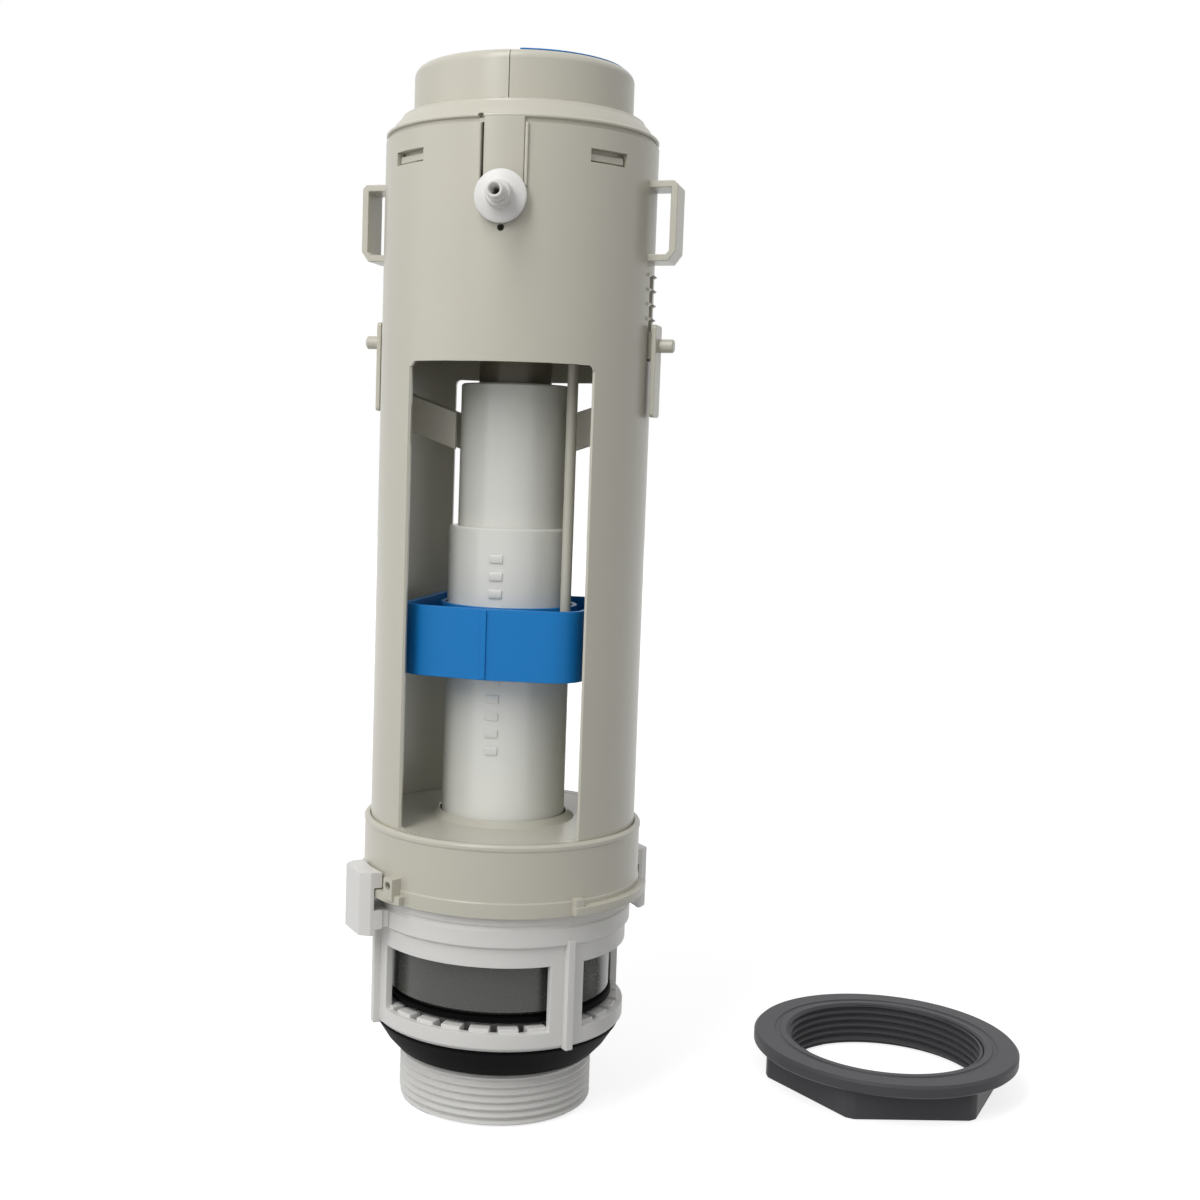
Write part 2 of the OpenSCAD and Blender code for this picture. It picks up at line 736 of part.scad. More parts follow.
module head_cover() color("tan") {
    difference() {
        union() {
            turned([[0, deck_z], [cover_r, deck_z], [cover_r, shell_top_z], [shell_r, shell_top_z],
                    [shell_r, shell_top_z + shoulder_lip],
                    [button_hole_r + shoulder_wall, shoulder_top_z], [button_hole_r, shoulder_top_z],
                    [button_hole_r, shell_top_z + shoulder_lip], [cover_in_r, shell_top_z],
                    [cover_in_r, deck_top_z], [0, deck_top_z]]);
            cover_tongue();
            for (side = [-1, 1])
                at(side * snap_turn)
                    front_box(snap_w, cover_r - cut, shell_in_r + snap_out, snap_z, snap_z + snap_h);
            full_rocker_lugs();
            half_rocker_lugs();
        }
        front_turned(nozzle_z, [[0, cover_r - cut], [nozzle_shank_r + fix_gap, cover_r - cut],
                                [nozzle_shank_r + fix_gap, shell_r + cut], [0, shell_r + cut]]);
        translate([full_push_x, 0, deck_z - cut]) cylinder(r = foot_hole_r, h = deck_t + 2 * cut);
        translate([half_rocker_x, half_push_y, deck_z - cut])
            cylinder(r = foot_hole_r, h = deck_t + 2 * cut);
        along_y(full_pivot_x, pivot_z, button_r) circle(pin_r + fix_gap);
        along_x(half_rocker_x, half_pivot_y, pivot_z, button_r / 2) circle(pin_r + fix_gap);
    }
}

// Strip of the cover that closes the slot in the shell's front
module cover_tongue() {
    intersection() {
        front_box(tongue_w, shell_in_r / 2, shell_r + cut, shell_top_z - tongue_len,
                  shell_top_z + shoulder_lip / 2);
        turned([[shell_in_r + fix_gap, shell_top_z - tongue_len - cut],
                [shell_r, shell_top_z - tongue_len - cut], [shell_r, shell_top_z + shoulder_lip],
                [shell_in_r + fix_gap, shell_top_z + shoulder_lip]]);
    }
}

// Extrudes a flat outline along Y, to both sides of the middle plane
module along_y(x, z, reach) {
    translate([x, reach, z]) rotate([90, 0, 0]) linear_extrude(2 * reach) children();
}

// Extrudes a flat outline of Y and Z along X, to both sides of a plane
module along_x(x, y, z, reach) {
    translate([x - reach, y, z]) rotate([90, 0, 90]) linear_extrude(2 * reach) children();
}

// Outline of a bearing lug that hangs from the deck, about its pin
module lug_outline() {
    circle(boss_r);
    translate([-boss_r, 0]) square([2 * boss_r, pivot_drop + deck_t / 2]);
}

module full_rocker_lugs() {
    for (side = [-1, 1])
        translate([0, side * (full_lug_in + lug_t / 2), 0])
            along_y(full_pivot_x, pivot_z, lug_t / 2) lug_outline();
}

module half_rocker_lugs() {
    for (side = [-1, 1])
        along_x(half_rocker_x + side * (half_lug_in + lug_t / 2), half_pivot_y, pivot_z, lug_t / 2)
            lug_outline();
}

module hose_nozzle() color("white") {
    disc_out = nozzle_disc_in + nozzle_disc_t;
    base_out = disc_out + spigot_base_len;
    front_turned(nozzle_z, [[spigot_bore_d / 2, nozzle_snout_in], [nozzle_snout_r, nozzle_snout_in],
        [nozzle_snout_r, nozzle_flange_out - nozzle_flange_t],
        [nozzle_flange_r, nozzle_flange_out - nozzle_flange_t], [nozzle_flange_r, nozzle_flange_out],
        [nozzle_shank_r, nozzle_flange_out], [nozzle_shank_r, nozzle_disc_in],
        [nozzle_disc_d / 2, nozzle_disc_in], [nozzle_disc_d / 2, disc_out],
        [spigot_base_r, disc_out], [spigot_base_r, base_out],
        [spigot_d / 2, base_out], [spigot_d / 2, base_out + spigot_len],
        [spigot_bore_d / 2, base_out + spigot_len]]);
}

module nozzle_seal() color("dimgray") {
    front_turned(nozzle_z, [[nozzle_shank_r + fix_gap, nozzle_seat], [nozzle_seal_r, nozzle_seat],
        [nozzle_seal_r, nozzle_disc_in], [nozzle_shank_r + fix_gap, nozzle_disc_in]]);
}

module full_rocker_pin() color("silver") {
    along_y(full_pivot_x, pivot_z, full_lug_in + lug_t) circle(pin_r);
}

module half_rocker_pin() color("silver") {
    along_x(half_rocker_x, half_pivot_y, pivot_z, half_lug_in + lug_t) circle(pin_r);
}

// Half of the round button top; side is -1 on the left and 1 on the right
module button_half(side, foot_x, foot_y, foot_z) {
    low = button_top_z - button_h;
    difference() {
        intersection() {
            translate([0, 0, low]) rotate_extrude() {
                square([button_r - button_edge, button_h]);
                square([button_r, button_h - button_edge]);
                translate([button_r - button_edge, button_h - button_edge]) circle(button_edge);
            }
            half_space(side, button_split / 2);
        }
        intersection() {
            round_core(button_r - button_wall, low - cut, button_top_z - button_top_t);
            half_space(side, button_split / 2 + button_wall);
        }
    }
    translate([foot_x, foot_y, foot_z]) cylinder(r = foot_r, h = button_top_z - button_top_t / 2 - foot_z);
}

// Everything on one side of the middle plane, from a distance on
module half_space(side, from) {
    translate([side > 0 ? from : -from - button_d, -button_d, 0])
        cube([button_d, 2 * button_d, button_top_z + cut]);
}

module full_button() color("tan") {
    button_half(-1, full_push_x, 0, full_push_z + nose_r + rest_gap);
}

module half_button() color("tan") {
    button_half(1, half_rocker_x, half_push_y, half_push_z + nose_r + rest_gap);
}

module half_button_pad() color("steelblue") {
    intersection() {
        translate([0, 0, button_top_z]) cylinder(r = button_r - pad_inset, h = pad_h);
        translate([button_split / 2 + pad_inset, -button_d, 0])
            cube([button_d, 2 * button_d, button_top_z + pad_h + cut]);
    }
}

module button_spring(x, y) {
    height = button_top_z - button_top_t - deck_top_z - 2 * spring_end;
    translate([x, y, deck_top_z + spring_end]) coil(spring_r, spring_wire_r, height, spring_turns);
}

module full_button_spring() color("silver") {
    button_spring(full_push_x, 0);
}

module half_button_spring() color("silver") {
    button_spring(half_rocker_x, half_push_y);
}

module full_rocker() color("lightgray") {
    nose = [full_nose_x - full_pivot_x, full_nose_z - pivot_z];
    push = [full_push_x - full_pivot_x, full_push_z - pivot_z];
    cross = push * (full_pivot_x - crossbar_x) / (full_pivot_x - full_push_x);
    difference() {
        union() {
            for (side = [-1, 1]) {
                translate([0, side * (fork_in + fork_w / 2), 0])
                    along_y(full_pivot_x, pivot_z, fork_w / 2) {
                        bar(nose, cross, rocker_bar);
                        translate(nose) circle(nose_r);
                    }
                translate([0, side * (fork_in + full_lug_in - rest_gap) / 2, 0])
                    along_y(full_pivot_x, pivot_z, (full_lug_in - rest_gap - fork_in) / 2) circle(boss_r);
            }
            along_y(full_pivot_x, pivot_z, fork_in + fork_w) translate(cross) circle(crossbar_r);
            along_y(full_pivot_x, pivot_z, foot_r + push_pad) {
                bar(cross, push, rocker_bar);
                translate(push) circle(nose_r);
            }
        }
        along_y(full_pivot_x, pivot_z, button_r) circle(pin_r + run_gap);
    }
}

module half_rocker() color("lightgray") {
    nose = [half_nose_y - half_pivot_y, half_nose_z - pivot_z];
    push = [half_push_y - half_pivot_y, half_push_z - pivot_z];
    difference() {
        union() {
            along_x(half_rocker_x, half_pivot_y, pivot_z, half_rocker_w / 2) {
                bar(nose, push, rocker_bar);
                translate(nose) circle(nose_r);
                translate(push) circle(nose_r);
            }
            along_x(half_rocker_x, half_pivot_y, pivot_z, half_boss_w / 2) circle(boss_r);
        }
        along_x(half_rocker_x, half_pivot_y, pivot_z, button_r / 2) circle(pin_r + run_gap);
    }
}

module lower_tube() color("ghostwhite") {
    turned([[lower_tube_in_r, lower_tube_z], [lower_tube_r, lower_tube_z],
            [lower_tube_r, lower_tube_top_z], [upper_tube_r + run_gap, lower_tube_top_z],
            [upper_tube_r + run_gap, lower_tube_top_z - guide_lip],
            [lower_tube_in_r, lower_tube_top_z - guide_lip]]);
}

module seal_carrier() color("dimgray") {
    hub_r = lower_tube_r + fix_gap;
    turned([[hub_r, carrier_z], [carrier_r, carrier_z], [carrier_r, carrier_z + carrier_h],
            [carrier_r - carrier_wall, carrier_z + carrier_h],
            [carrier_r - carrier_wall, carrier_z + carrier_web],
            [hub_r + carrier_hub_wall, carrier_z + carrier_web],
            [hub_r + carrier_hub_wall, carrier_z + carrier_hub_h], [hub_r, carrier_z + carrier_hub_h]]);
}

module main_seal() color("black") {
    turned([[lower_tube_r + fix_gap, seal_z], [seal_d / 2, seal_z], [seal_d / 2, carrier_z],
            [lower_tube_r + fix_gap, carrier_z]]);
}

module seal_retainer() color("whitesmoke") {
    turned([[lower_tube_r + fix_gap, lower_tube_z], [retainer_d / 2, lower_tube_z],
            [retainer_d / 2, seal_z], [lower_tube_r + fix_gap, seal_z]]);
}

module lift_stem() color("dimgray") {
    top_z = stem_cross_z + stem_cross_t;
    turned([[0, stem_foot_z], [stem_rod_r, stem_foot_z], [stem_rod_r, stem_head_z], [stem_r, stem_head_z],
            [stem_r, top_z], [0, top_z]]);
    intersection() {
        round_core(stem_cross_r, stem_cross_z, top_z);
        translate([-stem_cross_w / 2, -stem_cross_r, stem_cross_z])
            cube([stem_cross_w, 2 * stem_cross_r, stem_cross_t]);
    }
    for (i = [0:stem_legs - 1])
        at(i * 360 / stem_legs)
            front_box(stem_leg_w, 0, lower_tube_in_r - fix_gap, stem_foot_z, stem_foot_z + stem_foot_h);
}

module upper_tube() color("ghostwhite") {
    groove_z = upper_tube_z + tube_foot_h / 2;
    turned([[upper_tube_in_r, upper_tube_z], [tube_foot_r, upper_tube_z],
            [tube_foot_r, groove_z - o_ring_groove_w / 2], [o_ring_groove_r, groove_z - o_ring_groove_w / 2],
            [o_ring_groove_r, groove_z + o_ring_groove_w / 2], [tube_foot_r, groove_z + o_ring_groove_w / 2],
            [tube_foot_r, upper_tube_z + tube_foot_h], [upper_tube_r, upper_tube_z + tube_foot_h],
            [upper_tube_r, upper_tube_top_z], [upper_tube_in_r, upper_tube_top_z]]);
}

module tube_o_ring() color("black") {
    translate([0, 0, upper_tube_z + tube_foot_h / 2])
        rotate_extrude() translate([o_ring_r, 0]) circle(o_ring_wire_r, $fn = 24);
}

// Outline of the float cup, its front bulged at the seam, drawn smaller by an inset
module float_outline(inset) {
    half = float_w / 2 - inset;
    round_square(2 * half, 2 * half, float_r - inset);
    polygon([[float_r - inset - half, float_wall / 2 - half], [0, -half - float_ridge],
             [half - float_r + inset, float_wall / 2 - half]]);
}

module half_float() color("royalblue") {
    difference() {
        union() {
            difference() {
                at(float_turn) linear_extrude_between(float_z, float_z + float_h) float_outline(0);
                at(float_turn) linear_extrude_between(float_z + float_wall, float_z + float_h + cut)
                    float_outline(float_wall);
            }
            round_core(float_sleeve_r + float_sleeve_wall, float_z + float_wall / 2, float_z + float_h);
            at(float_turn)
                front_box(float_seam_w, float_w / 2 + float_ridge - float_wall,
                          float_w / 2 + float_ridge + float_seam_out, float_z, float_z + float_h);
        }
        round_core(float_sleeve_r, float_z - cut, float_z + float_h + cut);
    }
}

module float_link() color("white") {
    foot_z = float_z + float_wall;
    translate([link_x, link_y, foot_z]) {
        cylinder(r = link_r, h = link_lug_z + link_lug_t - foot_z);
        cylinder(r = link_foot_r, h = link_foot_h);
    }
    translate([link_x - link_r, link_y - link_lug_w / 2, link_lug_z])
        cube([half_rocker_x + half_rocker_w / 2 - link_x + link_r, link_lug_w, link_lug_t]);
}

// Volume slider on one side of the shell: outer plate, finger pin, neck and inner gate
module slider(side) {
    top_z = slider_z + slider_len;
    neck_top_z = top_z - slider_neck_drop;
    at(side * 90 - side_turn) {
        front_box(slider_w, slider_in, slider_in + slider_t, slider_z, top_z);
        front_box(slot_w - 2 * slide_gap, gate_out - gate_t, slider_in + slider_t / 2,
                  neck_top_z - slider_neck_h, neck_top_z);
        front_box(slider_w, gate_out - gate_t, gate_out, neck_top_z - gate_h, neck_top_z);
        front_turned(neck_top_z - slider_neck_h / 2, [[0, slider_in], [slider_pin_r, slider_in],
            [slider_pin_r, slider_in + slider_t + slider_pin_len],
            [0, slider_in + slider_t + slider_pin_len]]);
    }
}

module left_slider() color("tan") {
    slider(-1);
}

module right_slider() color("tan") {
    slider(1);
}

module lock_nut() color("dimgray") {
    translate([nut_x, nut_y, 0]) difference() {
        union() {
            intersection() {
                rotate([0, 0, nut_turn]) cylinder(d = nut_corners, h = nut_h, $fn = 6);
                cylinder(d = nut_corners - nut_round, h = nut_h);
            }
            translate([0, 0, nut_h - nut_flange_t]) cylinder(d = nut_flange_d, h = nut_flange_t);
        }
        translate([0, 0, -cut]) cylinder(r = thread_r + nut_gap, h = nut_h + 2 * cut);
    }
}

basket();
cone_gasket();
bayonet_skirt();
tower_shell();
head_cover();
hose_nozzle();
nozzle_seal();
full_rocker_pin();
half_rocker_pin();
full_button();
full_button_spring();
half_button();
half_button_pad();
half_button_spring();
full_rocker();
half_rocker();
lower_tube();
seal_carrier();
main_seal();
seal_retainer();
lift_stem();
upper_tube();
tube_o_ring();
half_float();
float_link();
left_slider();
right_slider();
lock_nut();
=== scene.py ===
import json
import math

import bpy
from bpy.props import FloatProperty, FloatVectorProperty, IntProperty, PointerProperty
from mathutils import Matrix, Vector

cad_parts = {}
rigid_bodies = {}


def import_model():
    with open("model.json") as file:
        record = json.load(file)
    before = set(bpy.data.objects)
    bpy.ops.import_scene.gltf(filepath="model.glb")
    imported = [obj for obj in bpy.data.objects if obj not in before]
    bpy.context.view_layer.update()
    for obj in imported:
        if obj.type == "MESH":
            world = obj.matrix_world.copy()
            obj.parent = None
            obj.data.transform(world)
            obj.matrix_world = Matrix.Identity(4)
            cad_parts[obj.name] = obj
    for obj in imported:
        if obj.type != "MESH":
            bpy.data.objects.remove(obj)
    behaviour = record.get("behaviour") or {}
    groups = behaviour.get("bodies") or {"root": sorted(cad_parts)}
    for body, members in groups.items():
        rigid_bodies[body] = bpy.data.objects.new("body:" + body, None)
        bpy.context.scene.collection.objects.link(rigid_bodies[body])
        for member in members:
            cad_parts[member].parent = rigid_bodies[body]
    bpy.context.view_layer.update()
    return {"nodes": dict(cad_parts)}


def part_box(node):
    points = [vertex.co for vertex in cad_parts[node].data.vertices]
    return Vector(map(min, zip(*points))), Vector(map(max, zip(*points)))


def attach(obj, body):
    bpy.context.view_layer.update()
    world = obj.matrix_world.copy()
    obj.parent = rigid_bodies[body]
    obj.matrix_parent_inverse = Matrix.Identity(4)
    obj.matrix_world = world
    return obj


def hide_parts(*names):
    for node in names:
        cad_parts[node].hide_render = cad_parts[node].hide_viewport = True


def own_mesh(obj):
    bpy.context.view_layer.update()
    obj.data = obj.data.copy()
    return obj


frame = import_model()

bl_info = {
    "name": "Dual-flush cistern valve",
    "version": (1, 0, 0),
    "blender": (4, 5, 0),
    "location": "View3D > Sidebar > Valve",
    "description": "Models and dresses a cistern flush valve on its packed frame and sets its stage",
    "category": "Object",
}

# Sizes below are in millimetres and turns in degrees; the drawing helpers turn them into metres and radians.
# Heights (Z) are counted from the outlet's end, and turns from the front towards the right.
MM = 0.001
WELD = 0.002 * MM
SLIVER = 0.08 * MM
SMOOTH_ANGLE = math.radians(40)
CREASE_ANGLE = math.radians(28)
FLAT_ANGLE = math.radians(0.5)
UP = Vector((0, 0, 1))
FRONT = Vector((0, -1, 0))
RIGHT = Vector((1, 0, 0))
X, Y, Z = range(3)
HOLE_STEPS = 32
PINHOLE_STEPS = 24

# How far a cutter reaches past what it cuts, and how far a part sinks into what carries it.
SPARE = 2.0
SINK = 0.5


def low(node, axis):
    """The lowest coordinate of a CAD node, in millimetres."""
    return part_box(node)[0][axis] / MM


def high(node, axis):
    """The highest coordinate of a CAD node, in millimetres."""
    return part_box(node)[1][axis] / MM


# Outlet and basket. The collar's groove is given as (depth, height).
BORE_R = 26.5
THREAD_R = 29.8
THREAD_WALL = 0.6
THREAD_LEN = low("cone_gasket", Z)
OUTLET_THREAD_Z = (0.6, THREAD_LEN - 0.4)
SHANK_R = 29.4
SHANK_STEP = 0.3
PLATE_Z = high("cone_gasket", Z)
FLOOR_Z = 29.0
BASKET_R = 39.1
BASKET_WALL = 2.2
BASKET_CHAMFER = 1.2
BASKET_TOP = high("basket", Z)
SEAT_R = (27.6, 29.8)
SEAT_TOP = 33.2
COLLAR_R = 40.3
COLLAR_WALL = 2.6
COLLAR_Z = 57.8
COLLAR_SLOPE = 0.9
COLLAR_FUNNEL = 2.0
COLLAR_GROOVE = ((0, 62.7), (0.6, 63.2), (0.6, 63.8), (0, 64.3))
NECK_Z = 66.6
NECK_STEP = 0.4
WATER_Z = (31.7, 51.4)
POST_TURNS = (39.5, 120.5, 219.5, 300.5)
POST_SPAN = 17.0
RIB_W = 2.5
RIB_R = 41.0
RIB_Z = (26.1, 58.8)
BLOCK_COUNT = 27
BLOCK_W = 6.0
BLOCK_R = 33.3
BLOCK_TOP = 32.7
LATCH_TURNS = (-57.0, 123.0)
LATCH_W = 16.0
LATCH_R = (45.5, 48.7)
LATCH_Z = (56.0, 75.0)
LATCH_SIDE = 0.4
LATCH_BACK = 1.0
LATCH_FACET = 2.2
LATCH_FOOT_TOP = 63.5
LATCH_FOOT_INSET = 0.6
LATCH_FOOT_GAP = 0.3
HOOK_R = 43.1
HOOK_Z = 70.3

# Seals. The gasket's flank is given as (radius, height).
GASKET_BORE_R = 29.5
GASKET_FLANK = ((31.2, THREAD_LEN), (32.2, 17.4), (34.4, 19.8), (37.2, 24.2), (38.0, 25.2))
GASKET_TOP = PLATE_Z - 0.1
GASKET_EDGE = 0.5
SEAL_CHAMFER = (0.6, 0.5)
SEAL_R = high("main_seal", Y)
SEAL_Z = (low("main_seal", Z), high("main_seal", Z))

# Skirt. Its shallow band is given as (depth, height).
SKIRT_R = 42.6
SKIRT_WALL = 2.2
SKIRT_Z = low("bayonet_skirt", Z)
SKIRT_TOP = 88.3
SKIRT_BAND = ((0, 71.2), (0.25, 71.5), (0.25, 86.2), (0, 86.6))
SKIRT_RIM = 0.7
GROOVE_R = (38.15, 40.7)
GROOVE_Z = 86.3
GROOVE_CHAMFER = 0.3
BOSS_R = (19.4, 22.0)
BOSS_TOP = high("bayonet_skirt", Z)
BOSS_ROUND = 0.4
UNDERSIDE_R = 36.0
UNDERSIDE_Z = (84.0, 86.1)
FLANGE_R = 45.0
FLANGE_Z = (67.3, 69.9)
FLANGE_ARCS = ((-62.0, 29.0), (37.0, 55.0))
STOP_TURN = 37.2
STOP_SPAN = 4.0
STOP_TOP = 72.2
STOP_SET = 0.4
LUG_TURN = -38.2
LUG_R = 45.8
LUG_Z = (68.4, 74.9)
LUG_W = 4.0
LUG_HOLE_R = 1.1
LUG_HOLE_Z = 72.7

# Shell.
SHELL_R = high("tower_shell", Y)
SHELL_WALL = 2.2
SHELL_Z = low("tower_shell", Z)
SHELL_TOP = high("tower_shell", Z)
WINDOW_W = 51.8
WINDOW_Z = (88.3, 224.7)
WINDOW_CORNER = 1.5
REAR_INSET = 2.4
JAMB_SPLAY = (30.0, 14.0)
TONGUE_W = 11.0
TONGUE_Z = 266.4
TONGUE_GAP = 0.5
TONGUE_EXTRA = 0.6
TONGUE_SINK = 0.2
TONGUE_RISE = 0.3
TONGUE_STEPS = 360
SLOT_RIB_X = (0.1, 1.0)
SLOT_RIB_OUT = 0.35
SLOT_RIB_IN = 1.6
SLOT_RIB_FOOT = 6.0
SLOT_RIB_GAP = 0.1
DRAIN_R = 1.0
DRAIN_Z = 261.2
SNAP_TURN = 45.0
SNAP_W = 13.2
SNAP_Z = (280.3, 284.1)
SNAP_GAP = 0.6
TAB_DEPTH = (1.3, 1.5)
TAB_SINK = 1.0
SIDE_TURN = 8.0
SIDE_SLOT_W = 4.8
SIDE_SLOT_Z = (227.5, 252.5)
LOOP_W = 12.0
LOOP_T = 2.0
LOOP_R = 48.4
LOOP_Z = (256.0, 279.0)
LOOP_SINK = 1.0
LOOP_CHAMFER = (2.2, 3.0)
LOOP_CORNER = 1.2
LOOP_FILLET = 1.0
TOOTH_COUNT = 4
TOOTH_PITCH = 4.2
TOOTH_H = 2.2
TOOTH_OUT = 1.0
TOOTH_SINK = 0.8
TOOTH_Y = (-1.0, 1.2)
TOOTH_Z = 238.6
TOOTH_TURN = 5.2
TOOTH_EDGE = 0.15
GUIDE_RIB_X = 16.75
GUIDE_RIB_Y = (5.1, 7.1)
GUIDE_RIB_TOP = 218.9
GUIDE_RIB_H = 11.0
GUIDE_RIB_SLOPE = 8.0
GUIDE_RIB_SINK = 0.4

# Head. The lip is given as (out, up) from the shell's top edge, and the cone's edge from the cone's top.
COVER_R = 38.2
COVER_WALL = 1.8
COVER_SHOULDER = 1.4
RIM_GROOVE = 1.0
RIM_EDGE = ((-0.2, 0.1), (0, 0.4))
COVER_LIP = ((-0.1, 2.2), (-0.6, 2.6), (-1.2, 2.6), (-1.6, 3.2), (-2.6, 4.7))
CONE_TOP_R = 34.9
CONE_TOP = 297.4
CONE_EDGE = ((1.5, -1.3), (1.2, -0.5), (0, 0))
DECK_Z = (278.0, 280.0)
PINHOLE_R = 0.8
PINHOLE_TURN = -9.2
PINHOLE_RISE = 0.6
BEARING_T = 2.6
BEARING_SINK = 1.0
BEARING_GAP = 0.15
LEVER_EDGE = 0.25

# Buttons and springs. The pad's taper is given as (inset, rise) and its crown as (inset, drop).
BUTTON_HOLE_R = 33.1
BUTTON_R = high("full_button", Y)
BUTTON_LOW = 293.5
BUTTON_TOP = high("full_button", Z)
BUTTON_GAP = 0.12
BUTTON_WALL = 1.8
BUTTON_CAP = 2.4
BUTTON_ROUND = 2.8
PAD_R = high("half_button_pad", Y)
PAD_X = low("half_button_pad", X)
PAD_TOP = high("half_button_pad", Z)
PAD_TAPER = ((0, 0.3), (1.2, 0.65))
PAD_CROWN = ((3.4, 0.15), (6.0, 0))
PAD_EDGE = 0.2
FOOT_R = 2.8
FOOT_GAP = 0.5
FOOT_CHAMFER = 0.8
FOOT_SINK = 1.0
FOOT_STEPS = 40
FOOT_PLACES = ((-25.24, 0.0), (23.0, 10.38))
SPRING_R = 3.95
SPRING_WIRE = 0.45
SPRING_Z = (280.65, 308.45)
SPRING_TURNS = 6
SPRING_STEPS = 40

# Refill nozzle, as (radius, distance from the tower's axis), from its inner end over the disc to the mouth.
NOZZLE_Z = 269.4
NOZZLE_STEPS = 64
NOZZLE_OUTLINE = (
    (0.95, 33.1), (3.0, 33.1), (3.0, 36.1), (5.4, 36.1), (5.4, 37.9), (4.0, 37.9), (4.0, 41.55),
    (6.9, 41.55), (7.3, 42.0), (7.3, 42.9), (6.8, 43.4), (4.6, 43.7), (3.9, 44.4), (3.7, 47.5), (3.3, 47.95),
    (2.6, 47.95), (2.7, 49.6), (2.35, 49.9), (2.6, 51.8), (2.3, 52.1), (2.45, 54.0), (2.1, 54.45),
    (1.7, 54.45), (1.5, 54.2), (1.3, 51.5), (0.95, 51.0),
)

# Tubes and seal carrier.
LOWER_R = 18.9
LOWER_WALL = 1.8
LOWER_TOP = high("lower_tube", Z)
LOWER_Z = low("lower_tube", Z)
LIP_R = 16.33
LIP_H = 4.0
LIP_SLOPE = 0.8
UPPER_R = 16.25
UPPER_WALL = 1.6
UPPER_Z = low("upper_tube", Z)
UPPER_TOP = high("upper_tube", Z)
UPPER_FOOT_R = 16.9
UPPER_FOOT_H = 4.0
TUBE_ROUND = 0.5
MOUTH_ROUND = 0.4
MARK_COUNT = 12
MARK_DROP = 5.0
MARK_H = 2.4
MARK_OUT = 0.4
MARK_TURN = -11.0
MARK_SPAN = 12.0
MARK_EDGE = 0.2
MARK_STEPS = 720
CARRIER_R = high("seal_carrier", Y)
CARRIER_Z = (low("seal_carrier", Z), high("seal_carrier", Z))
CARRIER_WALL = 2.0
CARRIER_CHAMFER = 1.0
CARRIER_ROUND = 0.6
CARRIER_FLOOR = 2.2
HUB_R = (19.0, 20.6)
HUB_H = 14.0
RETAINER_R = high("seal_retainer", Y)
RETAINER_Z = (low("seal_retainer", Z), high("seal_retainer", Z))
RETAINER_CHAMFER = 0.5

# Float and sliders.
FLOAT_W = 55.0
FLOAT_CORNER = 10.0
FLOAT_WALL = 1.6
FLOAT_RIDGE = 2.2
FLOAT_TURN = -6.0
FLOAT_Z = (low("half_float", Z), high("half_float", Z))
SLEEVE_R = (19.4, 20.9)
SLEEVE_GAP = (0.1, 0.4)
SEAM_W = 1.6
SEAM_OUT = 0.5
SEAM_SINK = 1.0
SEAM_GAP = 0.3
PLATE_R = (42.0, 43.4)
PLATE_SIZE = (9.0, 27.0)
PLATE_CORNER = 1.2
PLATE_SINK = (0.3, 0.6)
GATE_R = (36.2, 37.8)
GATE_DROP = 12.0
GATE_SINK = 0.4
PIN_R = 2.0
PIN_DROP = 6.0
PIN_REACH = 48.0
PIN_ROUND = 0.4
SLIDER_NECK = (1.9, 4.0)

# Nut. Its flange's groove is given as (radius, depth).
NUT_PLACE = (123.0, 35.0)
NUT_BORE_R = 30.0
NUT_FLANGE_R = 42.0
NUT_FLANGE_Z = (10.0, 14.0)
NUT_CHAMFER = (0.6, 0.8)
NUT_GROOVE = ((35.4, 0), (35.1, 0.35), (33.9, 0.35), (33.6, 0))
NUT_LEAD = 0.6
NUT_HEX_R = 39.0
NUT_HEX_GAP = 0.3
NUT_CLIP_R = 38.2
NUT_TURN = 10.0

# Pipe thread: shares of the pitch where its root ends, its crest starts and ends, and its root starts again.
THREAD_SHARES = (0.1, 0.42, 0.58, 0.9)
THREAD_LEAD = 1.2

# Finish: how large the slow shifts of tone are, how deep the grain is, and how far the gloss varies.
TONE_SIZE = 38.0
GRAIN_DEPTH = 0.05
GLOSS_SPREAD = (-0.07, 0.09)

# Stage, in metres: each light's width and height and its place, what the lights aim at, and the floor.
LIGHTS = {
    "key": ((0.28, 1.0), (-0.28, -0.62, 0.85)),
    "fill": ((1.0, 1.0), (-1.1, -0.5, 0.45)),
    "top": ((0.8, 0.8), (0.42, -0.42, 0.95)),
}
LIGHT_AIM = (0, 0, 0.15)
FLOOR_SIZE = 6.0
FLOOR_DROP = 0.0002
WHITE = (1, 1, 1, 1)


def linear(code):
    """An sRGB hex colour as linear RGBA."""
    channels = [int(code[i:i + 2], 16) / 255 for i in (1, 3, 5)]
    return [c / 12.92 if c <= 0.04045 else ((c + 0.055) / 1.055) ** 2.4 for c in channels] + [1.0]


def colour(name, description, code):
    """A colour property."""
    return FloatVectorProperty(
        name=name, description=description, size=4, subtype="COLOR", min=0, max=1, default=linear(code))


def length(name, description, millimetres):
    """A length property, stored in metres."""
    return FloatProperty(
        name=name, description=description, unit="LENGTH", subtype="DISTANCE", min=0, precision=5,
        default=millimetres * MM)


def turned(name, description, degrees):
    """An angle property, stored in radians."""
    return FloatProperty(name=name, description=description, subtype="ANGLE", default=math.radians(degrees))


def power(name, description, watts):
    """A light's power property."""
    return FloatProperty(name=name, description=description, unit="POWER", min=0, default=watts)


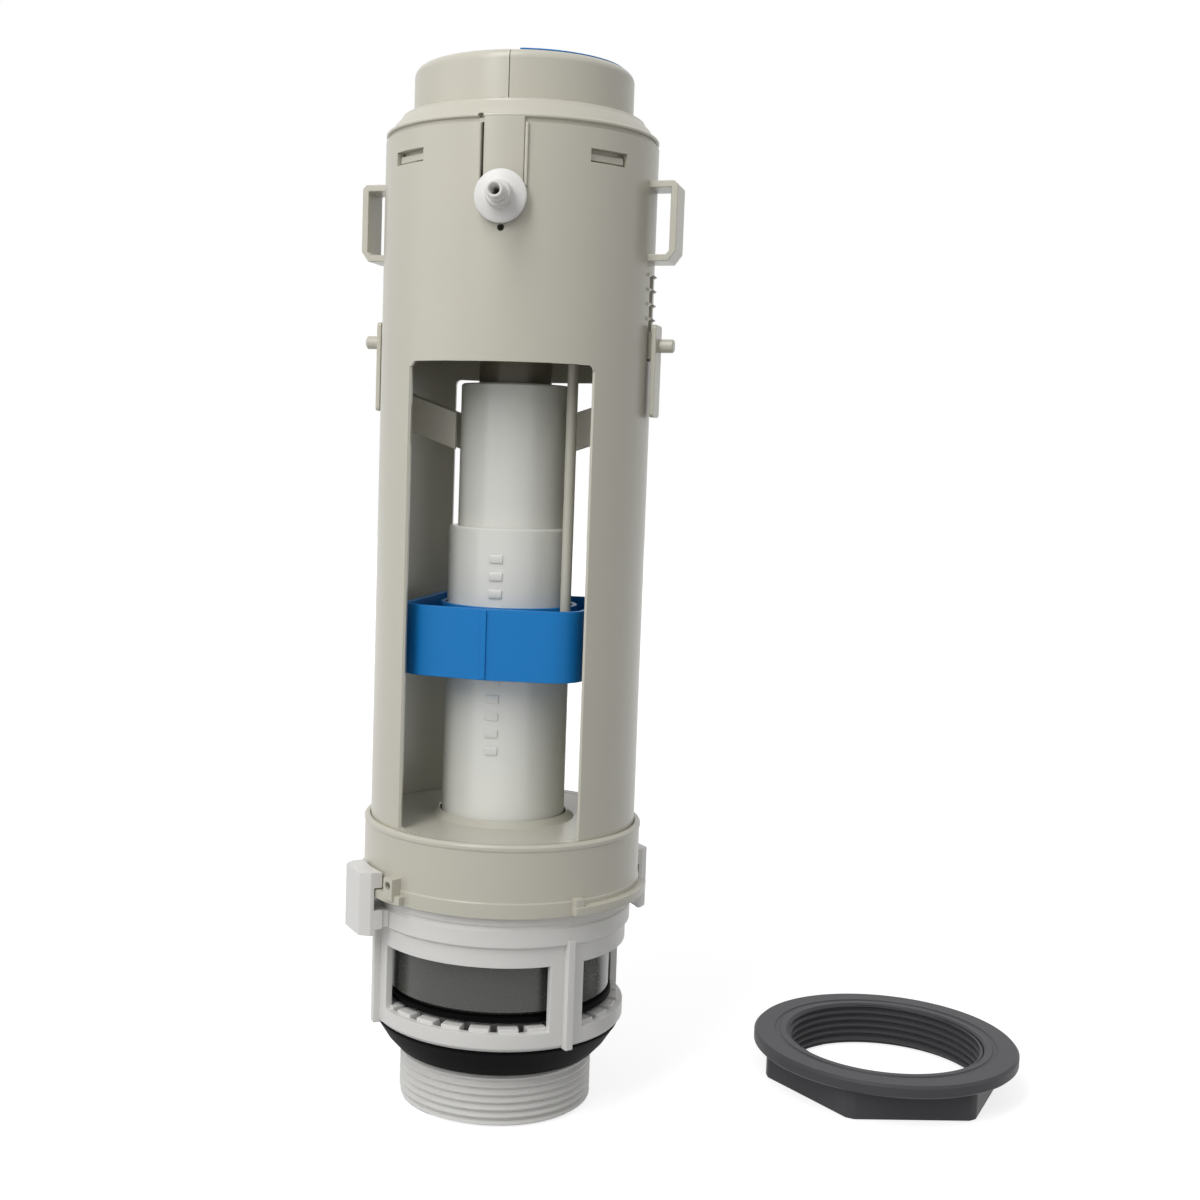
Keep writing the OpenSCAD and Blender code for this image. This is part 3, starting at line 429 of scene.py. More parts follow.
class ValveSizes(bpy.types.PropertyGroup):
    """Sizes of the finer shapes that the photo shows."""
    edge: length("Moulded edge", "Rounding of the large mouldings' edges", 0.55)
    jamb_edge: length("Jamb edge", "Depth of the splay on the tower windows' edges", 0.95)
    fine_edge: length("Fine edge", "Rounding of small mouldings' edges", 0.3)
    thread_pitch: length("Thread pitch", "Pitch of the outlet's and the nut's pipe thread", 2.309)
    thread_depth: length("Thread depth", "Depth of the pipe thread", 1.15)
    mark_pitch: length("Mark pitch", "Step of the raised marks up the overflow tube", 5.2)
    rim_gap: length("Rim gap", "Shadow line between the shell and the cover's lip", 1.3)
    facets: IntProperty(name="Facets", description="Steps of a full turn", min=48, max=256, default=144)


class ValveColours(bpy.types.PropertyGroup):
    """Colours of the valve's materials and of its stage."""
    shell: colour("Shell", "Beige ABS of the tower", "#C6C3B5")
    basket: colour("Basket", "White polypropylene of the basket", "#E2E1DE")
    tube: colour("Tube", "Milky polypropylene of the overflow tube", "#EAEAE4")
    smoke: colour("Carrier", "Smoky plastic of the seal carrier", "#595B56")
    blue: colour("Blue", "Blue polypropylene of the float and the pad", "#187DC6")
    nut: colour("Nut", "Dark grey nylon of the lock nut", "#4E4E51")
    # The lever colour is the levers' grey acetal, darkened and warmed towards olive as painted warm shade on
    # the lift stem.
    lever_painted_shade: colour("Lever", "Grey acetal of the levers and the stem", "#7F7A68")
    rubber: colour("Rubber", "Black EPDM of the seals", "#030304")
    steel: colour("Steel", "Spring steel and pins", "#B9BABC")
    floor: colour("Floor", "Pale floor and backdrop", "#B8B8B8")


class ValveStage(bpy.types.PropertyGroup):
    """Where the camera stands and how strong the lights are."""
    distance: length("Distance", "Camera's distance from the tower's axis", 490.9)
    height: length("Height", "Camera's height", 200.2)
    azimuth: turned("Azimuth", "Turn of the camera round the tower", 7.75)
    pitch: turned("Pitch", "How far the camera looks down", 5.32)
    roll: turned("Roll", "Lean of the picture", 1.75)
    lens: FloatProperty(name="Lens", description="Focal length in millimetres", min=1, default=48.29)
    shift: FloatProperty(name="Shift", description="Sideways shift of the picture", default=0.0758)
    key: power("Key", "Power of the narrow key light", 5.8)
    fill: power("Fill", "Power of the fill light on the left", 2.6)
    top: power("Top", "Power of the light from the upper right", 0.8)
    ambient: FloatProperty(name="Ambient", description="Strength of the light all round", min=0, default=0.37)


# Drawing helpers.

def only(piece=None):
    """Leaves object mode on, with one object selected and active."""
    if bpy.context.object and bpy.context.object.mode != "OBJECT":
        bpy.ops.object.mode_set(mode="OBJECT")
    bpy.ops.object.select_all(action="DESELECT")
    if piece:
        piece.select_set(True)
        bpy.context.view_layer.objects.active = piece


def edit(piece):
    """Opens a piece in edit mode, with all of it selected."""
    only(piece)
    bpy.ops.object.mode_set(mode="EDIT")
    bpy.ops.mesh.select_all(action="SELECT")


def weld(distance=WELD):
    """Welds what is open in edit mode and selects all of it."""
    bpy.ops.mesh.select_all(action="SELECT")
    bpy.ops.mesh.remove_doubles(threshold=distance)
    bpy.ops.mesh.select_all(action="SELECT")


def close_up(piece):
    """Welds what is open in edit mode, turns its faces outwards and goes back to object mode."""
    weld()
    bpy.ops.mesh.normals_make_consistent(inside=False)
    bpy.ops.object.mode_set(mode="OBJECT")
    return piece


def modify(piece, kind, **settings):
    """Adds a modifier to a piece, sets it and applies it."""
    only(piece)
    bpy.ops.object.modifier_add(type=kind)
    modifier = piece.modifiers[-1]
    for name, value in settings.items():
        setattr(modifier, name, value)
    bpy.ops.object.modifier_apply(modifier=modifier.name)
    return piece


def draw(name, points):
    """Draws a wire through points, one extruded vertex after the other, and stays in edit mode."""
    places = [Vector(point) * MM for point in points]
    only()
    bpy.ops.mesh.primitive_plane_add(size=MM, location=places[0])
    piece = bpy.context.object
    piece.name = name
    bpy.ops.object.transform_apply(location=True, rotation=False, scale=False)
    edit(piece)
    bpy.ops.mesh.select_mode(type="VERT")
    bpy.ops.mesh.select_all(action="SELECT")
    bpy.ops.mesh.merge(type="CENTER")
    for start, end in zip(places, places[1:]):
        bpy.ops.mesh.extrude_vertices_move(TRANSFORM_OT_translate={"value": end - start})
    weld()
    return piece


def lathe(name, profile, solid=False, origin=(0, 0, 0), along=UP, span=360.0, steps=None):
    """Turns a profile of (radius, height) round an axis. A solid profile starts and ends on the axis."""
    start = RIGHT if abs(along.dot(FRONT)) > 0.5 else FRONT
    points = [Vector(origin) + start * radius + along * height for radius, height in profile]
    if not solid:
        points.append(points[0])
    piece = draw(name, points)
    steps = steps or bpy.context.scene.valve_sizes.facets
    bpy.ops.mesh.spin(
        steps=max(4, round(steps * span / 360)), angle=-math.radians(span),
        center=Vector(origin) * MM, axis=along)
    if span < 360:
        bpy.ops.mesh.select_all(action="SELECT")
        bpy.ops.mesh.fill_holes(sides=0)
    return close_up(piece)


def rod(name, radius, start, end, **placing):
    """A plain cylinder between two heights on an axis."""
    return lathe(name, [(0, start), (radius, start), (radius, end), (0, end)], solid=True, **placing)


def ring(name, radii, heights, **shape):
    """A plain ring between two radii and two heights."""
    (inner, outer), (bottom, top) = radii, heights
    return lathe(name, [(inner, bottom), (outer, bottom), (outer, top), (inner, top)], **shape)


def arc(name, radii, heights, start, span, steps=None):
    """A ring segment from a start angle, counted from the front towards the right."""
    return turn(ring(name, radii, heights, span=span, steps=steps), start)


def prism(name, outline, step):
    """Fills an outline of points and extrudes it by a step."""
    piece = draw(name, [*outline, outline[0]])
    bpy.ops.mesh.edge_face_add()
    bpy.ops.mesh.extrude_region_move(TRANSFORM_OT_translate={"value": Vector(step) * MM})
    return close_up(piece)


def block(name, low_corner, high_corner):
    """A box between two corners."""
    (x0, y0, z0), (x1, y1, z1) = low_corner, high_corner
    return prism(name, [(x0, y0, z0), (x1, y0, z0), (x1, y1, z0), (x0, y1, z0)], (0, 0, z1 - z0))


def bend(start, end, step=15):
    """The angles of an arc, given in whole degrees, as radians."""
    return [math.radians(degrees) for degrees in range(start, end + 1, step)]


def rounded(width, height, radius, corner_steps=8):
    """The (u, v) outline of a rounded rectangle about its centre."""
    points = []
    for quarter, (u, v) in enumerate(((1, 1), (-1, 1), (-1, -1), (1, -1))):
        for step in range(corner_steps + 1):
            angle = math.pi / 2 * (quarter + step / corner_steps)
            points.append((u * (width / 2 - radius) + radius * math.cos(angle),
                           v * (height / 2 - radius) + radius * math.sin(angle)))
    return points


def bulged(width, radius):
    """The outline of the float: a rounded square whose front bulges at the middle."""
    points = rounded(width, width, radius)
    front = 3 * len(points) // 4
    return points[:front] + [(0, -width / 2 - FLOAT_RIDGE)] + points[front:]


def turn(piece, degrees):
    """Turns a piece about the tower's axis, counted from the front towards the right."""
    only(piece)
    bpy.ops.transform.rotate(value=-math.radians(degrees), orient_axis="Z", center_override=(0, 0, 0))
    bpy.ops.object.transform_apply(location=True, rotation=True, scale=True)
    return piece


def move(piece, step):
    """Moves a piece by a step."""
    only(piece)
    bpy.ops.transform.translate(value=Vector(step) * MM)
    bpy.ops.object.transform_apply(location=True, rotation=True, scale=True)
    return piece


def copy_of(piece, degrees=0.0, step=(0, 0, 0)):
    """A copy with its own mesh, moved and then turned about the tower's axis."""
    only(piece)
    bpy.ops.object.duplicate()
    return turn(move(bpy.context.object, step), degrees)


def mirrored(piece):
    """A copy on the other side of the tower, its left and right swapped."""
    only(piece)
    bpy.ops.object.duplicate()
    copy = bpy.context.object
    edit(copy)
    bpy.ops.transform.resize(value=(-1, 1, 1), center_override=(0, 0, 0))
    return close_up(copy)


def join(piece, *others):
    """Joins pieces that touch into the first one."""
    only(piece)
    for other in others:
        other.select_set(True)
    bpy.ops.object.join()
    return piece


def combine(piece, tool, operation="DIFFERENCE"):
    """Cuts or intersects a piece with a tool, which is used up, and welds the slivers."""
    modify(piece, "BOOLEAN", operation=operation, solver="EXACT", object=tool)
    bpy.data.objects.remove(tool)
    if not piece.data.polygons:
        raise RuntimeError(f"{piece.name}: nothing is left after a cut")
    edit(piece)
    weld(SLIVER)
    return close_up(piece)


def soften(piece, width=None):
    """Rounds a piece's edges, as a mould leaves them, by a width in metres or else by the fine edge."""
    width = width or bpy.context.scene.valve_sizes.fine_edge
    return modify(
        piece, "BEVEL", width=width, segments=2, limit_method="ANGLE", angle_limit=CREASE_ANGLE,
        use_clamp_overlap=True)


def bisect(piece, place, normal):
    """Cuts a piece at a plane, drops what lies beyond it and closes the cut."""
    edit(piece)
    bpy.ops.mesh.bisect(plane_co=Vector(place) * MM, plane_no=normal, use_fill=True, clear_outer=True)
    return close_up(piece)


def thread(name, root, crest, heights):
    """A pipe thread between two heights; a crest smaller than its root makes it an inner one."""
    sizes = bpy.context.scene.valve_sizes
    pitch, (bottom, top) = sizes.thread_pitch / MM, heights
    start = bottom - THREAD_LEAD * pitch
    shares = zip((0, *THREAD_SHARES, 1), (root, root, crest, crest, root, root))
    piece = draw(name, [(radius, 0, start + share * pitch) for share, radius in shares])
    steps = sizes.facets // 2
    modify(
        piece, "SCREW", screw_offset=pitch * MM, iterations=math.ceil((top - start) / pitch) + 1, steps=steps,
        render_steps=steps)
    edit(piece)
    weld()
    for place, normal in ((bottom, -UP), (top, UP)):
        bpy.ops.mesh.select_all(action="SELECT")
        bpy.ops.mesh.bisect(plane_co=UP * place * MM, plane_no=normal, clear_outer=True)
    close_up(piece)
    modify(piece, "SOLIDIFY", thickness=THREAD_WALL * MM, offset=-1 if crest > root else 1)
    edit(piece)
    return close_up(piece)


def cad_copy(name, node):
    """A copy of a CAD node with its seams welded, its flat faces whole and its edges rounded."""
    only(frame["nodes"][node])
    bpy.ops.object.duplicate()
    piece = bpy.context.object
    bpy.ops.object.parent_clear(type="CLEAR_KEEP_TRANSFORM")
    bpy.ops.object.transform_apply(location=True, rotation=True, scale=True)
    for key in [key for key in piece.keys() if key.startswith("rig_")]:
        del piece[key]
    piece.name = name
    edit(piece)
    weld()
    bpy.ops.mesh.dissolve_limited(angle_limit=FLAT_ANGLE)
    close_up(piece)
    return soften(piece, LEVER_EDGE * MM)


def settle(piece, body, finish, slot, *nodes):
    """Shades a finished piece, gives it its material and puts it on its body."""
    only(piece)
    piece.data.name = piece.name
    bpy.ops.object.shade_smooth_by_angle(angle=SMOOTH_ANGLE)
    modify(piece, "WEIGHTED_NORMAL", weight=100, keep_sharp=True)
    piece.data.materials.clear()
    piece.data.materials.append(material(finish))
    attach(piece, body)
    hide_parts(*nodes)
    return piece


def dress(node, finish):
    """Gives a CAD node that looks right a better material."""
    piece = frame["nodes"][node]
    piece.data.materials.clear()
    piece.data.materials.append(material(finish))


# Materials.

def add_node(tree, kind, settings=(), links=()):
    """Adds a node, sets its values and sockets, and links (socket name, source socket) pairs into it."""
    node = tree.nodes.new(kind)
    for name, value in dict(settings).items():
        if name in node.inputs:
            node.inputs[name].default_value = value
        else:
            setattr(node, name, value)
    for name, source in links:
        tree.links.new(source, node.inputs[name])
    return node


def per_mm(millimetres):
    """The texture scale whose features are this large."""
    return 1 / (millimetres * MM)


def blank(name):
    """A new material and its empty node tree."""
    made = bpy.data.materials.new(name)
    made.use_nodes = True
    made.node_tree.nodes.clear()
    return made, made.node_tree


def plastic(name, tone, darker, grain, roughness, bump, **settings):
    """A moulded plastic: slow shifts of tone, a fine grain in its gloss and its surface."""
    made, tree = blank(name)
    place = add_node(tree, "ShaderNodeTexCoord").outputs["Object"]
    cloud = add_node(
        tree, "ShaderNodeTexNoise", {"Scale": per_mm(TONE_SIZE), "Detail": 4.0, "Roughness": 0.6},
        [("Vector", place)])
    fine = add_node(
        tree, "ShaderNodeTexNoise", {"Scale": per_mm(grain), "Detail": 3.0, "Roughness": 0.55},
        [("Vector", place)])
    base = add_node(
        tree, "ShaderNodeMix", {"data_type": "RGBA"}, [("Factor", cloud.outputs["Fac"])])
    base.inputs[6].default_value = tone
    base.inputs[7].default_value = [channel * darker for channel in tone[:3]] + [1.0]
    smoother, rougher = (roughness + spread for spread in GLOSS_SPREAD)
    gloss = add_node(
        tree, "ShaderNodeMapRange", {"To Min": smoother, "To Max": rougher}, [("Value", fine.outputs["Fac"])])
    relief = add_node(
        tree, "ShaderNodeBump", {"Strength": bump, "Distance": GRAIN_DEPTH * MM},
        [("Height", fine.outputs["Fac"])])
    shader = add_node(
        tree, "ShaderNodeBsdfPrincipled", settings,
        [("Base Color", base.outputs[2]), ("Roughness", gloss.outputs["Result"]),
         ("Normal", relief.outputs["Normal"])])
    add_node(tree, "ShaderNodeOutputMaterial", (), [("Surface", shader.outputs["BSDF"])])
    return made


def material(name):
    """A material by name, made at its first use."""
    return bpy.data.materials.get(name) or MATERIALS[name](name, bpy.context.scene.valve_colours)


def beige_abs(name, colours):
    # A warm grey satin skin that rolls softly from light to shade, with a faint shine at its edges.
    return plastic(name, colours.shell, darker=0.93, grain=0.45, roughness=0.3, bump=0.2)


def white_polypropylene(name, colours):
    # A cooler white, a little waxy, with light sinking in at thin walls.
    return plastic(
        name, colours.basket, darker=0.95, grain=0.5, roughness=0.36, bump=0.2,
        **{"Subsurface Weight": 0.12, "Subsurface Radius": (1, 1, 1), "Subsurface Scale": 1.5 * MM})


def milky_polypropylene(name, colours):
    # A milky, smoother white, with light sinking further into the tube's wall.
    return plastic(
        name, colours.tube, darker=0.96, grain=0.6, roughness=0.24, bump=0.15,
        **{"Subsurface Weight": 0.2, "Subsurface Radius": (1, 1, 1), "Subsurface Scale": 2 * MM})


def smoky_polycarbonate(name, colours):
    # A dark grey that lets a little light through, with clear highlights.
    return plastic(
        name, colours.smoke, darker=0.9, grain=0.6, roughness=0.24, bump=0.1, **{"Transmission Weight": 0.25})


def blue_polypropylene(name, colours):
    # A strong plain blue with a satin shine on its rim.
    return plastic(
        name, colours.blue, darker=0.9, grain=0.5, roughness=0.4, bump=0.2, **{"Specular IOR Level": 0.25})


def grey_nylon(name, colours):
    # A dark dull grey, its fibres giving a fine broken sheen.
    return plastic(
        name, colours.nut, darker=0.85, grain=0.3, roughness=0.46, bump=0.45, **{"Specular IOR Level": 0.2})


def acetal_painted_shade(name, colours):
    # A slick mid grey for parts that slide. It is darkened and warmed towards olive as painted warm shade, so
    # the lift stem looks like plastic in shade.
    return plastic(name, colours.lever_painted_shade, darker=0.93, grain=0.5, roughness=0.3, bump=0.12)


def epdm_rubber(name, colours):
    # A near black that only shows a broad dull highlight.
    return plastic(
        name, colours.rubber, darker=0.8, grain=0.35, roughness=0.6, bump=0.4, **{"Specular IOR Level": 0.06})


def spring_steel(name, colours):
    # Drawn wire: bright, with a light haze along it.
    return plastic(name, colours.steel, darker=0.92, grain=0.2, roughness=0.28, bump=0.1, Metallic=1.0)


def meets_backdrop(tree):
    """A socket that is 1 for rays from the camera, off a gloss or through a clear wall, and else 0."""
    path = add_node(tree, "ShaderNodeLightPath")
    bounced = add_node(
        tree, "ShaderNodeMath", {"operation": "MAXIMUM"},
        [(0, path.outputs["Is Glossy Ray"]), (1, path.outputs["Is Transmission Ray"])])
    met = add_node(
        tree, "ShaderNodeMath", {"operation": "MAXIMUM"},
        [(0, path.outputs["Is Camera Ray"]), (1, bounced.outputs[0])])
    return met.outputs[0]


def pale_floor(name, colours):
    # A matt pale floor that keeps the shadow; the camera, gloss and clear walls meet it as white.
    made, tree = blank(name)
    place = add_node(tree, "ShaderNodeTexCoord").outputs["Object"]
    reach = add_node(tree, "ShaderNodeVectorMath", {"operation": "LENGTH"}, [(0, place)])
    white = add_node(
        tree, "ShaderNodeMapRange",
        {"interpolation_type": "SMOOTHSTEP", "From Min": 0.2, "From Max": 1.0, "To Min": 0.78, "To Max": 1.0},
        [("Value", reach.outputs["Value"])])
    glow = add_node(
        tree, "ShaderNodeMath", {"operation": "MULTIPLY"},
        [(0, meets_backdrop(tree)), (1, white.outputs["Result"])])
    matt = add_node(tree, "ShaderNodeBsdfDiffuse", {"Color": colours.floor})
    light = add_node(tree, "ShaderNodeEmission", {"Color": WHITE}, [("Strength", glow.outputs[0])])
    both = add_node(tree, "ShaderNodeAddShader", (), [(0, matt.outputs[0]), (1, light.outputs[0])])
    add_node(tree, "ShaderNodeOutputMaterial", (), [("Surface", both.outputs[0])])
    return made


MATERIALS = {
    "ABS beige": beige_abs,
    "Polypropylene white": white_polypropylene,
    "Polypropylene milky": milky_polypropylene,
    "Polycarbonate smoky": smoky_polycarbonate,
    "Polypropylene blue": blue_polypropylene,
    "Nylon dark grey": grey_nylon,
    "Acetal grey": acetal_painted_shade,
    "EPDM rubber": epdm_rubber,
    "Spring steel": spring_steel,
    "Floor pale": pale_floor,
}


# Pieces.

class VALVE_OT_basket(bpy.types.Operator):
    """Models the white basket with its threaded outlet, water windows, guide blocks and latches"""
    bl_idname = "valve.basket"
    bl_label = "Basket"

    def execute(self, context):
        sizes = context.scene.valve_sizes
        root = THREAD_R - sizes.thread_depth / MM
        inner, neck, collar_inner = BASKET_R - BASKET_WALL, COLLAR_R - NECK_STEP, COLLAR_R - COLLAR_WALL
        piece = lathe("basket_moulding", [
            (BORE_R, 0), (root, 0), (root, THREAD_LEN), (SHANK_R, THREAD_LEN + SHANK_STEP),
            (SHANK_R, PLATE_Z), (BASKET_R - BASKET_CHAMFER, PLATE_Z), (BASKET_R, PLATE_Z + BASKET_CHAMFER),
            (BASKET_R, COLLAR_Z - COLLAR_SLOPE), (COLLAR_R, COLLAR_Z),
            *[(COLLAR_R - depth, height) for depth, height in COLLAR_GROOVE],
            (COLLAR_R, NECK_Z), (neck, NECK_Z), (neck, BASKET_TOP), (collar_inner, BASKET_TOP),
            (collar_inner, COLLAR_Z + COLLAR_FUNNEL), (inner, COLLAR_Z), (inner, FLOOR_Z),
            (SEAT_R[1], FLOOR_Z), (SEAT_R[1], SEAT_TOP), (SEAT_R[0], SEAT_TOP), (SEAT_R[0], FLOOR_Z),
            (BORE_R, FLOOR_Z)])
        for post, following in zip(POST_TURNS, (*POST_TURNS[1:], POST_TURNS[0] + 360)):
            combine(piece, arc(
                "cutter", (inner - SPARE, COLLAR_R + SPARE), WATER_Z, post + POST_SPAN / 2,
                following - post - POST_SPAN))
        soften(piece, sizes.edge)
        rib = soften(block(
            "rib", (-RIB_W / 2, -RIB_R, RIB_Z[0]), (RIB_W / 2, -inner - SINK, RIB_Z[1])))
        ribs = [copy_of(rib, angle) for angle in POST_TURNS]
        guide = soften(block(
            "guide", (-BLOCK_W / 2, -inner - SINK, FLOOR_Z - SINK), (BLOCK_W / 2, -BLOCK_R, BLOCK_TOP)))
        guides = [copy_of(guide, 360 / BLOCK_COUNT * number) for number in range(BLOCK_COUNT)]
        latch = self.latch(sizes)
        latches = [copy_of(latch, angle) for angle in LATCH_TURNS]
        for pattern in (rib, guide, latch):
            bpy.data.objects.remove(pattern)
        outlet = thread("outlet_thread", root, THREAD_R, OUTLET_THREAD_Z)
        join(piece, outlet, *ribs, *guides, *latches)
        settle(piece, "basket", "Polypropylene white", "white_plastic", "basket")
        return {"FINISHED"}

    def latch(self, sizes):
        """One spring latch at the front: a faceted plate on a foot, with a hook over the skirt's flange."""
        half, (inner, outer), (bottom, top) = LATCH_W / 2, LATCH_R, LATCH_Z
        left = [(-half, LATCH_BACK - HOOK_R), (-half, -inner - LATCH_SIDE), (LATCH_FACET - half, -outer)]
        outline = left + [(-u, v) for u, v in reversed(left)]
        piece = prism("latch", [(u, v, bottom) for u, v in outline], UP * (top - bottom))
        for radius, start, end in (
                (inner, bottom - SPARE, COLLAR_Z), (inner, LATCH_FOOT_TOP, HOOK_Z),
                (HOOK_R, HOOK_Z - SPARE, top + SPARE)):
            combine(piece, rod("cutter", radius, start, end))
        soften(piece, sizes.edge)
        side = half - LATCH_FOOT_INSET
        foot = soften(block(
            "foot", (-side, -inner - LATCH_FOOT_INSET, COLLAR_Z + LATCH_FOOT_GAP),
            (side, -COLLAR_R + LATCH_FOOT_INSET, LATCH_FOOT_TOP - LATCH_FOOT_GAP)))
        return join(piece, foot)


class VALVE_OT_seals(bpy.types.Operator):
    """Models the cone gasket and the main seal and dresses the other rubber rings"""
    bl_idname = "valve.seals"
    bl_label = "Rubber seals"

    def execute(self, context):
        gasket = lathe("gasket_cone", [
            (GASKET_BORE_R, THREAD_LEN), *GASKET_FLANK, (GASKET_FLANK[-1][0], GASKET_TOP),
            (GASKET_BORE_R, GASKET_TOP)])
        soften(gasket, GASKET_EDGE * MM)
        settle(gasket, "basket", "EPDM rubber", "black_rubber", "cone_gasket")
        (bottom, top), (inset, rise) = SEAL_Z, SEAL_CHAMFER
        seal = lathe("seal_washer", [
            (HUB_R[0], bottom), (SEAL_R - inset, bottom), (SEAL_R, bottom + rise), (SEAL_R, top - rise),
            (SEAL_R - inset, top), (HUB_R[0], top)])
        settle(seal, "overflow", "EPDM rubber", "black_rubber", "main_seal")
        for node in ("nozzle_seal", "tube_o_ring"):
            dress(node, "EPDM rubber")
        return {"FINISHED"}


class VALVE_OT_skirt(bpy.types.Operator):
    """Models the beige bayonet ring with its flange segments, stops and lugs"""
    bl_idname = "valve.skirt"
    bl_label = "Bayonet skirt"

    def execute(self, context):
        inner = SKIRT_R - SKIRT_WALL
        piece = lathe("skirt_ring", [
            (inner, SKIRT_Z), (SKIRT_R, SKIRT_Z),
            *[(SKIRT_R - depth, height) for depth, height in SKIRT_BAND],
            (SKIRT_R, SKIRT_TOP - SKIRT_RIM), (SKIRT_R - SKIRT_RIM, SKIRT_TOP),
            (GROOVE_R[1] + GROOVE_CHAMFER, SKIRT_TOP), (GROOVE_R[1], SKIRT_TOP - GROOVE_CHAMFER),
            (GROOVE_R[1], GROOVE_Z), (GROOVE_R[0], GROOVE_Z), (GROOVE_R[0], SKIRT_TOP),
            (BOSS_R[1], SKIRT_TOP), (BOSS_R[0] + BOSS_ROUND, BOSS_TOP), (BOSS_R[0], BOSS_TOP - BOSS_ROUND),
            (BOSS_R[0], UNDERSIDE_Z[1]), (UNDERSIDE_R, UNDERSIDE_Z[1]), (UNDERSIDE_R, UNDERSIDE_Z[0]),
            (inner, UNDERSIDE_Z[0])])
        soften(piece)
        foot = SKIRT_R - SINK
        parts = [soften(arc("flange", (foot, FLANGE_R), FLANGE_Z, start, span))
                 for start, span in FLANGE_ARCS]
        parts.append(soften(arc(
            "stop", (foot, FLANGE_R - STOP_SET), (FLANGE_Z[1] - STOP_SET, STOP_TOP), STOP_TURN, STOP_SPAN)))
        lug = block("lug", (-LUG_W / 2, -LUG_R, LUG_Z[0]), (LUG_W / 2, -foot, LUG_Z[1]))
        combine(lug, rod(
            "cutter", LUG_HOLE_R, SKIRT_R - SPARE, LUG_R + SPARE, origin=(0, 0, LUG_HOLE_Z), along=FRONT,
            steps=HOLE_STEPS))
        parts.append(turn(soften(lug), LUG_TURN))
        join(piece, *parts, *[copy_of(part, 180) for part in parts])
        settle(piece, "tower", "ABS beige", "beige_plastic", "bayonet_skirt")
        return {"FINISHED"}


